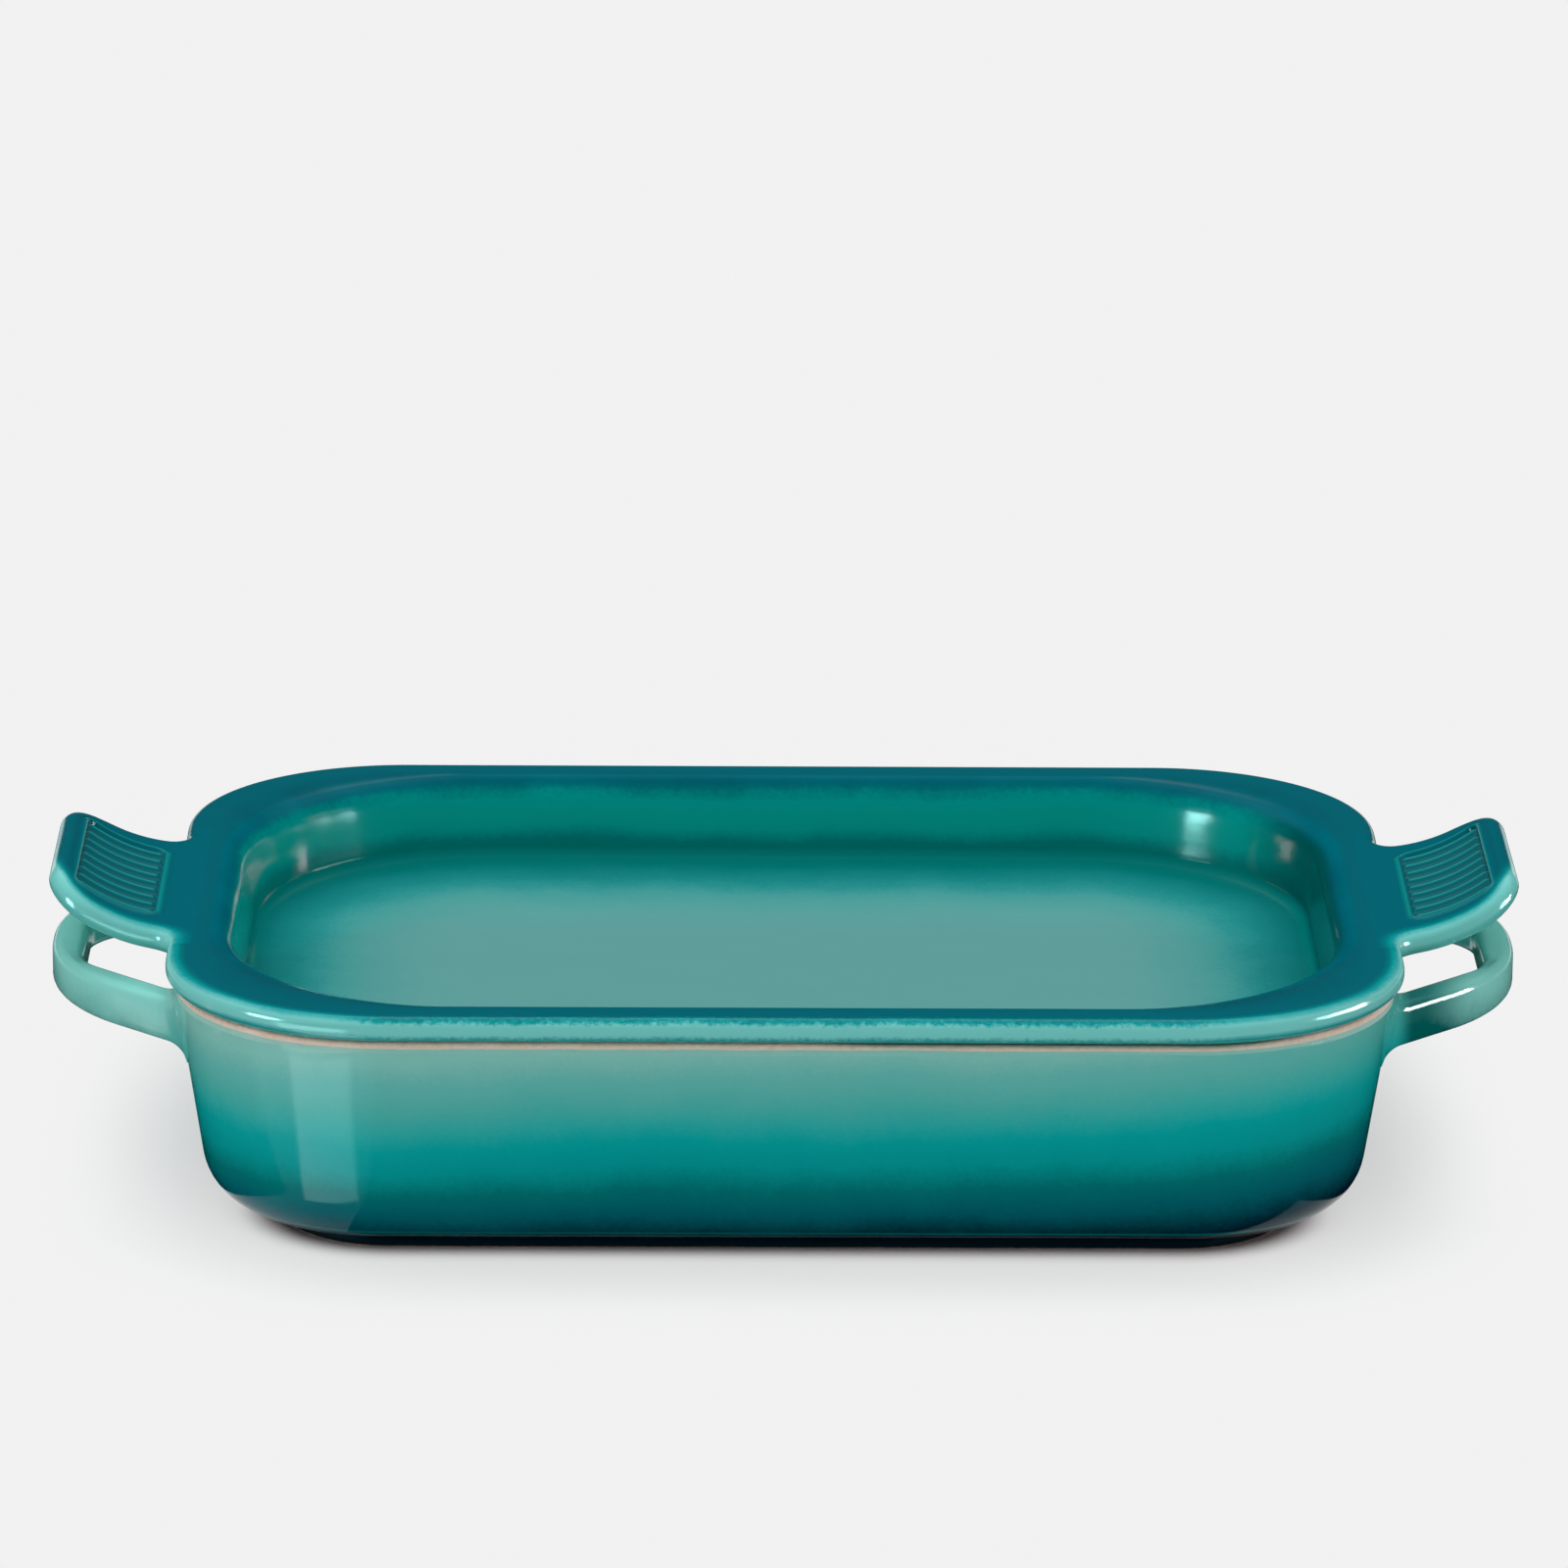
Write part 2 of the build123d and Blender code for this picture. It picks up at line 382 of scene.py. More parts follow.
class Effects:
    """The node groups that more than one material uses."""

    number, vector = "NodeSocketFloat", "NodeSocketVector"
    clouds, specks = Clouds(34.0, 4.0, 0.62), Clouds(700.0, 3.0, 0.7)
    slow_ripple, orange_peel = Clouds(42.0, 1.0, 0.4), Clouds(420.0, 2.0, 0.5)

    def __init__(self) -> None:
        """Builds each group once."""
        self.outline = self.build_outline()
        self.mottle = self.build_mottle()
        self.ripple = self.build_ripple()

    def start(self, name: str, inputs: tuple[str, ...], outputs: tuple[str, ...]) -> Graph:
        """Starts a node group whose first input is the place, and whose others are numbers.

        Args:
            name: the group's name.
            inputs: the names of its numbers in.
            outputs: the names of its numbers out.

        Returns:
            The group's tree, ready to be written.
        """
        tree = bpy.data.node_groups.new(name, "ShaderNodeTree")
        tree.interface.new_socket("Point", in_out="INPUT", socket_type=self.vector)
        for label in inputs:
            tree.interface.new_socket(label, in_out="INPUT", socket_type=self.number)
        for label in outputs:
            tree.interface.new_socket(label, in_out="OUTPUT", socket_type=self.number)
        return Graph(tree)

    def build_outline(self) -> bpy.types.NodeTree:
        """The distance in plan from a rectangle with rounded corners.

        Returns:
            The group.
        """
        g = self.start("outline_distance", ("Half Length", "Half Width", "Corner"), ("Distance",))
        given = g.node("NodeGroupInput").outputs
        distance = g.plan_distance(given["Point"], given["Half Length"], given["Half Width"],
                                   given["Corner"])
        g.feed(g.node("NodeGroupOutput").inputs["Distance"], distance)
        return g.tree

    def build_mottle(self) -> bpy.types.NodeTree:
        """How the glaze breaks up: slow clouds, and fine specks between them, both centred on 0.

        Returns:
            The group.
        """
        g = self.start("glaze_mottle", ("Clouds", "Specks"), ("Mottle", "Speck"))
        given = g.node("NodeGroupInput").outputs
        ends = g.node("NodeGroupOutput").inputs
        g.feed(ends["Mottle"], g.sum(Sum.TIMES, g.noise(given["Point"], self.clouds), given["Clouds"]))
        g.feed(ends["Speck"], g.sum(Sum.TIMES, g.noise(given["Point"], self.specks), given["Specks"]))
        return g.tree

    def build_ripple(self) -> bpy.types.NodeTree:
        """The slow unevenness of a poured glaze, with a faint orange peel on it.

        Returns:
            The group.
        """
        g = self.start("glaze_ripple", ("Slow", "Peel"), ("Height",))
        given = g.node("NodeGroupInput").outputs
        slow = g.sum(Sum.TIMES, g.noise(given["Point"], self.slow_ripple), given["Slow"])
        peel = g.sum(Sum.TIMES, g.noise(given["Point"], self.orange_peel), given["Peel"])
        g.feed(g.node("NodeGroupOutput").inputs["Height"], g.sum(Sum.ADD, slow, peel))
        return g.tree

    def distance(self, g: Graph, point: Socket, outline: Outline) -> Socket:
        """How far a place lies outside an outline in plan, below 0 inside it.

        Args:
            g: the material's tree.
            point: the place.
            outline: the outline.

        Returns:
            The distance, in metres.
        """
        values = dict(zip(("Half Length", "Half Width", "Corner"), outline.sizes()))
        return g.group(self.outline, {"Point": point, **values}).outputs["Distance"]

    def mottled(self, g: Graph, clouds: float, specks: float) -> Socket:
        """A shift that follows the glaze's clouds and specks, centred on 0.

        Args:
            g: the material's tree.
            clouds, specks: how strong each of them is.

        Returns:
            The shift.
        """
        made = g.group(self.mottle, {"Point": g.point(), "Clouds": clouds, "Specks": specks})
        return g.sum(Sum.ADD, made.outputs["Mottle"], made.outputs["Speck"])


@dataclass(frozen=True)
class Finish:
    """What every fired surface has in common: its gloss and the small unevenness of its skin.

    Attributes:
        name: the material's name.
        roughness: the skin's middling roughness.
        rough_shares: the least and the most of that roughness that the clouds leave.
        cloud_reach: how far the clouds swing either way.
        bend: how strongly the glaze bends light, its index of refraction.
        red_kept, green_kept: how much red and green its straight reflections keep.
        slow, peel: how strong the slow ripple and the orange peel are.
        bump_height: the height that a strength of 1 stands for, in metres.
    """

    name: str
    roughness: float = 0.12
    rough_shares: Band = (0.7, 1.35)
    cloud_reach: float = 0.3
    bend: float = 1.3
    red_kept: float = 0.18
    green_kept: float = 0.95
    slow: float = 0.25
    peel: float = 0.012
    bump_height: float = 0.0012

    def colour(self, g: Graph, effects: Effects) -> Socket:
        """The surface's colour; each finish has its own.

        Args:
            g: the material's tree.
            effects: the shared node groups.

        Returns:
            The colour.
        """
        raise NotImplementedError

    def gloss(self, g: Graph) -> Value:
        """How strongly the surface reflects; the plain gloss, unless a finish has its own.

        Args:
            g: the material's tree.

        Returns:
            The level of the gloss.
        """
        return PLAIN_GLOSS

    def dress(self, effects: Effects) -> bpy.types.Material:
        """Builds the finish's material.

        Args:
            effects: the shared node groups.

        Returns:
            The material, with one Principled shader.
        """
        made = bpy.data.materials.new(self.name)
        made.use_nodes = True
        made.node_tree.nodes.clear()
        g = Graph(made.node_tree)
        skin = g.node("ShaderNodeBsdfPrincipled")
        skin.inputs["IOR"].default_value = self.bend
        skin.inputs["Specular Tint"].default_value = (self.red_kept, self.green_kept, 1.0, 1.0)
        g.feed(skin.inputs["Base Color"], self.colour(g, effects))
        g.feed(skin.inputs["Specular IOR Level"], self.gloss(g))
        mottle = g.group(effects.mottle, {"Point": g.point(), "Clouds": 1.0, "Specks": 1.0})
        least, most = (self.roughness * share for share in self.rough_shares)
        rough = g.spread(mottle.outputs["Mottle"], -self.cloud_reach, self.cloud_reach, least, most)
        g.feed(skin.inputs["Roughness"], rough)
        ripple = g.group(effects.ripple, {"Point": g.point(), "Slow": self.slow, "Peel": self.peel})
        bump = g.node("ShaderNodeBump")
        bump.inputs["Distance"].default_value = self.bump_height
        g.feed(bump.inputs["Height"], ripple.outputs["Height"])
        g.feed(skin.inputs["Normal"], bump.outputs["Normal"])
        g.feed(g.node("ShaderNodeOutputMaterial").inputs["Surface"], skin.outputs["BSDF"])
        return made


@dataclass(frozen=True)
class DishGlaze(Finish):
    """Pale grey turquoise under the rim, teal half way down, navy at the foot; paler again inside.

    Attributes:
        stops: the colours from the foot, 0, to the top of the wall, 1.
        right_end, right_rise: where along X the colours rise towards the right end, and by how much.
        left_end, left_drop: where along X they drop towards the left end, and by how much.
        wavering: how far clouds and specks shift the colours, in metres.
        inner_side: how far inside the wall's outer face the inside begins.
        inner_level: the height above which the inside can lie.
        pool_edge: how far inside that face the glaze pools on the bottom.
        thin, pooled: the inside's colour on the wall and in the pool.
    """

    stops: Stops = (
        (0.00, shade(0, 16, 28, 0.6)), (0.08, shade(0, 42, 58, 0.9)), (0.155, shade(0, 71, 82, 0.78)),
        (0.22, shade(0, 88, 98, 0.72)), (0.28, shade(0, 99, 106, 0.76)), (0.345, shade(0, 112, 113, 0.82)),
        (0.40, shade(0, 125, 123, 0.73)), (0.465, shade(0, 135, 136, 0.67)),
        (0.585, shade(2, 142, 141, 0.64)), (0.65, shade(34, 148, 145, 0.64)),
        (0.77, shade(68, 154, 147, 0.64)), (0.89, shade(86, 158, 152, 0.64)), (1.00, RIM_GLAZE))
    right_end: Band = (0.06, 0.15)
    right_rise: float = 0.007
    left_end: Band = (0.02, -0.13)
    left_drop: float = 0.0035
    wavering: Band = (0.008, 0.004)
    inner_side: Band = (-0.0028, -0.0034)
    inner_level: float = 0.0055
    pool_edge: Band = (-0.016, -0.034)
    thin: Colour = shade(0, 112, 112)
    pooled: Colour = shade(90, 152, 150)

    def outside(self, g: Graph, effects: Effects) -> Socket:
        """The run of colours from the foot to the rim, shifted up and down by the glaze's clouds.

        It lies higher at the right end, which darkens it there, and lower towards the left end, which pales
        it there.

        Args:
            g: the material's tree.
            effects: the shared node groups.

        Returns:
            The colour.
        """
        x, _, z = g.place()
        right = g.spread(x, *self.right_end, 0.0, -self.right_rise)
        left = g.spread(x, *self.left_end, 0.0, self.left_drop, soft=False)
        height = g.sum(Sum.ADD, z, g.sum(Sum.ADD, right, left))
        shifted = g.sum(Sum.ADD, height, effects.mottled(g, *self.wavering))
        return g.ramp(g.sum(Sum.OVER, shifted, WALL_TOP), self.stops)

    def colour(self, g: Graph, effects: Effects) -> Socket:
        """The run of colours down the outside, and the pool of paler glaze inside.

        Args:
            g: the material's tree.
            effects: the shared node groups.

        Returns:
            The colour.
        """
        _, _, height = g.place()
        lean = g.sum(Sum.TIMES, g.sum(Sum.TAKE, WALL_TOP, height), WALL_LEAN)
        depth = g.sum(Sum.ADD, effects.distance(g, g.point(), DISH_WALL), lean)
        inside = g.spread(depth, *self.inner_side)
        above = g.sum(Sum.OVER_LIMIT, height, self.inner_level)
        pool = g.spread(g.sum(Sum.ADD, depth, effects.mottled(g, *self.wavering)), *self.pool_edge)
        bottom = g.mix(pool, self.thin, self.pooled)
        return g.mix(g.sum(Sum.TIMES, inside, above), self.outside(g, effects), bottom)


@dataclass(frozen=True)
class LidGlaze(Finish):
    """Petrol blue on the flat flange, breaking to turquoise over the rounded edge, grey teal in the well.

    Attributes:
        petrol, petrol_deep: the flange's two blues, which lie in clouds.
        thinning, breaking, turquoise, lower_edge: the edge's colours, from the flange down.
        wall_stops: the well's wall, from the lip, 0, down to its foot, 1; partly the glaze and partly
            painted shade and reflection, paler at mid height.
        floor_stops: the well's floor, from its rim, 0, to its middle, 1; its dark band at the rim is painted
            reflection of the back wall at the back and painted shade along the sides.
        right_wall, right_side, right_share: the colour of the wall at the well's right end, where along X
            it comes in, and how much of it.
        petrol_without_reflection_from, petrol_without_reflection_over: where along Y the petrol covers the
        edge towards the back, and by how much; in front of that the paler edge is partly painted reflection.
        front_edge, front_straight: where the ragged line of the front is, along Y and along X.
        edge_break, front_break, front_shift: how far the glaze breaks up along the edge and the front.
        skin_end: the skin value well inside the edge.
        inward, inward_share: how far inside the edge the skin value rises to its end, and by how much.
        edge_reach: how far inside the edge its colours go over into the flange's.
        flange_clouds: the cloud values between which the flange goes from one blue to the other.
        well_break, wall_waver, lip_waver: how far the glaze breaks up in the well, on its wall and lip.
        wall_run, floor_run: heights of the wall's colours, and how far in the floor's colours run.
        wall_foot: the heights between which the wall goes over into the floor.
        lip_side: how far from the mouth the flange goes over into the well.
        well_underside: the height above which a place lies on the upper side.
        back_reflection_shift: how far the floor's colours lie off the middle, towards the front, which
            widens the painted reflection of the back wall.
        dull_lip, dull_lip_height: the dull band over the lip, out from the mouth and by height.
        dull_foot, dull_foot_top, dull_foot_share: the dull band at the wall's foot, by height.
        dull_gloss: the gloss where the glaze is dullest.
    """

    petrol: Colour = shade(0, 104, 118)
    petrol_deep: Colour = shade(0, 90, 105)
    thinning: Colour = shade(0, 124, 130)
    breaking: Colour = shade(2, 146, 148, 0.85)
    turquoise: Colour = shade(112, 194, 189, 0.85)
    lower_edge: Colour = shade(30, 138, 138, 0.8)
    wall_stops: Stops = (
        (0.00, shade(0, 103, 118)), (0.10, shade(0, 103, 105, 0.7)), (0.28, shade(1, 122, 117, 0.43)),
        (0.48, shade(2, 120, 112, 0.42)), (0.68, shade(1, 111, 105, 0.38)),
        (0.88, shade(0, 101, 98, 0.55)), (1.00, shade(0, 104, 100, 0.6)))
    floor_stops: Stops = (
        (0.00, shade(0, 108, 104, 0.8)), (0.12, shade(14, 116, 116, 0.84)),
        (0.25, shade(26, 126, 125, 0.86)), (0.36, shade(44, 137, 136, 0.86)),
        (0.48, shade(68, 148, 145, 0.86)), (0.60, shade(80, 151, 148, 0.85)),
        (0.82, shade(91, 154, 151, 0.84)), (1.00, shade(92, 154, 151, 0.83)))
    right_wall: Colour = shade(0, 60, 62, 0.6)
    right_side: Band = (0.118, 0.140)
    right_share: float = 0.9
    petrol_without_reflection_from: Band = (-0.055, -0.02)
    petrol_without_reflection_over: float = 0.55
    front_edge: Band = (-0.1, -0.108)
    front_straight: Band = (0.115, 0.095)
    edge_break: Band = (0.16, 0.06)
    front_break: Band = (0.1, 0.32)
    front_shift: float = 0.1
    skin_end: float = 1.3
    inward: Band = (-0.0028, -0.0058)
    inward_share: float = 0.3
    edge_reach: Band = (-0.0160, -0.0066)
    flange_clouds: Band = (-0.2, 0.25)
    well_break: Band = (0.016, 0.008)
    wall_waver: float = 0.3
    lip_waver: float = 0.04
    wall_run: Band = (0.066, 0.0475)
    floor_run: Band = (0.0, -0.056)
    wall_foot: Band = (0.0492, 0.0460)
    lip_side: Band = (0.0022, -0.0004)
    well_underside: float = 0.0425
    back_reflection_shift: float = 0.010
    dull_lip: Band = (0.0065, 0.0040)
    dull_lip_height: Band = (0.0595, 0.0615)
    dull_foot: Band = (0.0456, 0.0460)
    dull_foot_top: Band = (0.0500, 0.0484)
    dull_foot_share: float = 0.85
    dull_gloss: float = 0.02

    def broken(self, g: Graph, effects: Effects, skin: Socket) -> Socket:
        """The edge's run of colours along a skin value: 0 under the plate, 1 on top, more inside the edge.

        Along the front straight the petrol comes further over the edge, with a ragged line. The paler edge
        is partly the glaze's break and partly a painted reflection of the table; towards the back the petrol
        comes over most of the edge.

        Args:
            g: the material's tree.
            effects: the shared node groups.
            skin: the skin value.

        Returns:
            The colour.
        """
        x, y, _ = g.place()
        # painted reflection: the edge stays paler towards the front, and the petrol covers it towards the
        # back
        behind = g.spread(y, *self.petrol_without_reflection_from, 0.0, self.petrol_without_reflection_over)
        straight = g.spread(g.sum(Sum.SIZE, x), *self.front_straight)
        front = g.sum(Sum.TIMES, g.spread(y, *self.front_edge), straight)
        waver = g.sum(Sum.ADD, effects.mottled(g, *self.front_break), self.front_shift)
        share = g.sum(Sum.ADD, skin, effects.mottled(g, *self.edge_break))
        share = g.sum(Sum.ADD, share, g.sum(Sum.TIMES, front, waver))
        share = g.spread(g.sum(Sum.ADD, share, behind), 0.0, self.skin_end, soft=False)
        return g.ramp(share, (
            (0.00, self.lower_edge), (0.18, self.lower_edge), (0.34, self.turquoise),
            (0.66, self.turquoise), (0.76, self.breaking), (0.84, self.thinning), (0.95, self.petrol),
            (1.00, self.petrol)))

    def plate_height(self, g: Graph) -> Socket:
        """The height above the middle of the lid's plate, which curls up past the bend line.

        It is the bend's radius less the distance to the bend's axis, or to the line above the place where
        the plate is still flat.

        Args:
            g: the material's tree.

        Returns:
            The height, in metres.
        """
        x, _, z = g.place()
        past = g.sum(Sum.MOST, g.sum(Sum.TAKE, g.sum(Sum.SIZE, x), BEND_LINE), 0.0)
        down = g.sum(Sum.TAKE, BEND_AXIS, z)
        squares = [g.sum(Sum.TIMES, item, item) for item in (past, down)]
        return g.sum(Sum.TAKE, BEND_RADIUS, g.sum(Sum.ROOT, g.sum(Sum.ADD, *squares)))

    def plate(self, g: Graph, effects: Effects) -> Socket:
        """The flange's clouds of petrol blue, and the edge's colours up its round and a little way in.

        Args:
            g: the material's tree.
            effects: the shared node groups.

        Returns:
            The colour.
        """
        point = g.point()
        outside = effects.distance(g, point, LID_FLANGE)
        height = g.spread(self.plate_height(g), -HALF_PLATE, HALF_PLATE, soft=False)
        inward = g.spread(outside, *self.inward, 0.0, self.inward_share, soft=False)
        edge = self.broken(g, effects, g.sum(Sum.ADD, height, inward))
        clouds = g.spread(effects.mottled(g, 1.0, 0.0), *self.flange_clouds)
        flange = g.mix(clouds, self.petrol, self.petrol_deep)
        return g.mix(g.spread(outside, *self.edge_reach), flange, edge)

    def well(self, g: Graph, effects: Effects, shift: Socket) -> Socket:
        """The well's wall by height, partly painted shade and reflection and darker at the right end, and
        its floor by the distance from its rim, with painted reflection and shade in its dark rim band.

        Args:
            g: the material's tree.
            effects: the shared node groups.
            shift: the glaze's clouds in the well.

        Returns:
            The colour.
        """
        point = g.point()
        x, _, height = g.split(point)
        # painted reflection: the floor's dark rim band is wider at the back, where the back wall is
        # reflected
        forward = g.node("ShaderNodeVectorMath", operation="ADD")
        g.feed(forward.inputs[0], point)
        forward.inputs[1].default_value = (0.0, self.back_reflection_shift, 0.0)
        pool = effects.distance(g, forward.outputs[0], FLOOR_REFLECTION_AND_SHADE_OUTLINE)
        lifted = g.sum(Sum.ADD, height, g.sum(Sum.TIMES, shift, self.wall_waver))
        # partly painted shade and reflection: the wall's colours are paler at mid height
        walls = g.ramp(g.spread(lifted, *self.wall_run, soft=False), self.wall_stops)
        walls = g.mix(g.spread(x, *self.right_side, 0.0, self.right_share), walls, self.right_wall)
        inward = g.spread(g.sum(Sum.ADD, pool, shift), *self.floor_run, soft=False)
        return g.mix(g.spread(height, *self.wall_foot), walls, g.ramp(inward, self.floor_stops))

    def colour(self, g: Graph, effects: Effects) -> Socket:
        """The plate's colours, and the well's own colours inside its lip.

        Args:
            g: the material's tree.
            effects: the shared node groups.

        Returns:
            The colour.
        """
        point = g.point()
        shift = effects.mottled(g, *self.well_break)
        lip = g.sum(Sum.ADD, effects.distance(g, point, WELL_MOUTH), g.sum(Sum.TIMES, shift, self.lip_waver))
        top_side = g.sum(Sum.OVER_LIMIT, g.split(point)[2], self.well_underside)
        inside = g.sum(Sum.TIMES, g.spread(lip, *self.lip_side), top_side)
        return g.mix(inside, self.plate(g, effects), self.well(g, effects, shift))

    def gloss(self, g: Graph) -> Value:
        """The glaze is duller over the well's broad lip, and where the wall rounds into the floor.

        Args:
            g: the material's tree.

        Returns:
            The level of the gloss.
        """
        point = g.point()
        height = g.split(point)[2]
        lip = g.spread(g.plan_distance(point, *WELL_MOUTH.sizes()), *self.dull_lip)
        near = g.sum(Sum.TIMES, lip, g.spread(height, *self.dull_lip_height))
        upper = g.spread(height, *self.dull_foot_top, 0.0, self.dull_foot_share)
        foot = g.sum(Sum.TIMES, g.spread(height, *self.dull_foot), upper)
        dull = g.sum(Sum.ADD, near, foot, clamp=True)
        return g.spread(dull, 0.0, 1.0, PLAIN_GLOSS, self.dull_gloss)


@dataclass(frozen=True)
class GripGlaze(LidGlaze):
    """The lid's petrol glaze on the curled grips, thinner and lighter on the crests of ribs and frame.

    The mesh carries the skin value, and a crest value that is 1 on a rib and -1 between ribs.

    Attributes:
        crest_tone, crest_band: the colour of the crests, and the crest values that it comes in between.
        panel_tone, panel_band: the colour between the ribs, and the crest values for it.
        face: the skin values between which the edge goes over into the face that the thumb presses.
        face_gloss: the gloss on that face.
    """

    crest_tone: Colour = shade(12, 146, 140)
    crest_band: Band = (0.1, 1.0)
    panel_tone: Colour = shade(0, 95, 102)
    panel_band: Band = (0.0, -0.9)
    lower_edge: Colour = shade(84, 168, 162, 0.75)
    petrol_without_reflection_from: Band = (-0.030, -0.006)
    face: Band = (0.92, 1.15)
    face_gloss: float = 0.2

    def colour(self, g: Graph, effects: Effects) -> Socket:
        """The plate's edge colours by the skin value, and the panel's own by the crest value.

        Args:
            g: the material's tree.
            effects: the shared node groups.

        Returns:
            The colour.
        """
        crest = g.marked("crest")
        plate = self.broken(g, effects, g.marked("skin"))
        panel = g.mix(g.spread(crest, *self.panel_band), plate, self.panel_tone)
        return g.mix(g.spread(crest, *self.crest_band, soft=False), panel, self.crest_tone)

    def gloss(self, g: Graph) -> Value:
        """The glaze is duller on the face that the thumb presses than on the edge.

        Args:
            g: the material's tree.

        Returns:
            The level of the gloss.
        """
        return g.spread(g.marked("skin"), *self.face, PLAIN_GLOSS, self.face_gloss)


@dataclass(frozen=True)
class HandleGlaze(DishGlaze):
    """Pale turquoise, darker where it runs thick, with painted shade at its right root; it leaves the wall
    in the wall's own colour.

    Attributes:
        pale, deep: the loop's two colours, which lie in clouds; the darker one is also the colour of the
            painted shade.
        clouds: how strong clouds and specks are.
        cloud_band: the cloud values between which the pale goes over to the deep.
        bar_heights, thickness: the bar's lower and upper side, and what each adds to the clouds.
        right_root, right_share: where along X painted shade darkens the right root, and by how much.
        root: where along X the wall's colour goes over into the loop's.
    """

    pale: Colour = shade(124, 194, 185, 0.73)
    deep: Colour = shade(0, 90, 87, 0.8)
    clouds: Band = (0.6, 0.12)
    cloud_band: Band = (-0.3, 0.6)
    bar_heights: Band = (0.0415, 0.0535)
    thickness: Band = (0.1, -0.3)
    right_root: Band = (0.179, 0.161)
    right_share: float = 0.95
    root: Band = (0.1535, 0.159)

    def colour(self, g: Graph, effects: Effects) -> Socket:
        """The wall's colour at the root, going over to clouds of pale and darker glaze, with painted shade
        at the right root.

        Args:
            g: the material's tree.
            effects: the shared node groups.

        Returns:
            The colour.
        """
        x, _, z = g.place()
        thick = g.spread(z, *self.bar_heights, *self.thickness)
        # painted shade: the right root turns towards the deep colour
        root_shade = g.spread(x, *self.right_root, 0.0, self.right_share)
        root_shade = g.sum(Sum.TIMES, root_shade, g.sum(Sum.OVER_LIMIT, x, 0.0))
        share = g.spread(g.sum(Sum.ADD, effects.mottled(g, *self.clouds), thick), *self.cloud_band)
        loop = g.mix(g.sum(Sum.ADD, share, root_shade, clamp=True), self.pale, self.deep)
        return g.mix(g.spread(g.sum(Sum.SIZE, x), *self.root), self.outside(g, effects), loop)


@dataclass(frozen=True)
class FootGlaze(Finish):
    """Navy that looks black, with a bare standing face.

    Attributes:
        navy, clay: the glaze's colour and the standing face's.
        glaze_line: the heights between which the clay goes over into the glaze.
        ragged: how far clouds and specks shift that line, in metres.
    """

    navy: Colour = shade(0, 26, 40, 0.6)
    clay: Colour = shade(176, 166, 146)
    glaze_line: Band = (0.0001, 0.0004)
    ragged: Band = (0.0006, 0.0004)

    def colour(self, g: Graph, effects: Effects) -> Socket:
        """Navy down to the ragged glaze line just above the standing face.

        Args:
            g: the material's tree.
            effects: the shared node groups.

        Returns:
            The colour.
        """
        height = g.sum(Sum.ADD, g.place()[2], effects.mottled(g, *self.ragged))
        return g.mix(g.spread(height, *self.glaze_line), self.clay, self.navy)


@dataclass(frozen=True)
class BareClay(Finish):
    """Unglazed fired clay: matte tan with fine grains.

    Attributes:
        tan, warm: its two colours.
        grains: how strong clouds and grains are.
        grain_band: the values between which the tan goes over to the warmer tone.
    """

    tan: Colour = shade(214, 202, 184, 0.8)
    warm: Colour = shade(196, 178, 158, 0.8)
    grains: Band = (0.8, 1.2)
    grain_band: Band = (-0.4, 0.6)

    def colour(self, g: Graph, effects: Effects) -> Socket:
        """Clouds of a warmer tan and scattered grains.

        Args:
            g: the material's tree.
            effects: the shared node groups.

        Returns:
            The colour.
        """
        return g.mix(g.spread(effects.mottled(g, *self.grains), *self.grain_band), self.tan, self.warm)


@dataclass(frozen=True)
class RimClay(BareClay):
    """The rim band's bare clay, above a glaze line that wavers a little over the wall's top.

    Attributes:
        glaze_line: the heights between which the wall's glaze goes over into the clay.
        ragged: how far clouds and specks shift that line, in metres.
    """

    glaze_line: Band = (0.05755, 0.05785)
    ragged: Band = (0.0012, 0.0006)

    def colour(self, g: Graph, effects: Effects) -> Socket:
        """The wall's pale glaze below the line, clay above it.

        Args:
            g: the material's tree.
            effects: the shared node groups.

        Returns:
            The colour.
        """
        height = g.sum(Sum.ADD, g.place()[2], effects.mottled(g, *self.ragged))
        return g.mix(g.spread(height, *self.glaze_line), RIM_GLAZE, BareClay.colour(self, g, effects))


def soft_step(share: np.ndarray) -> np.ndarray:
    """A share from 0 to 1 that starts and ends softly, 3 s^2 - 2 s^3.

    Args:
        share: shares from 0 to 1.

    Returns:
        The softened shares.
    """
    return share * share * (3 - 2 * share)


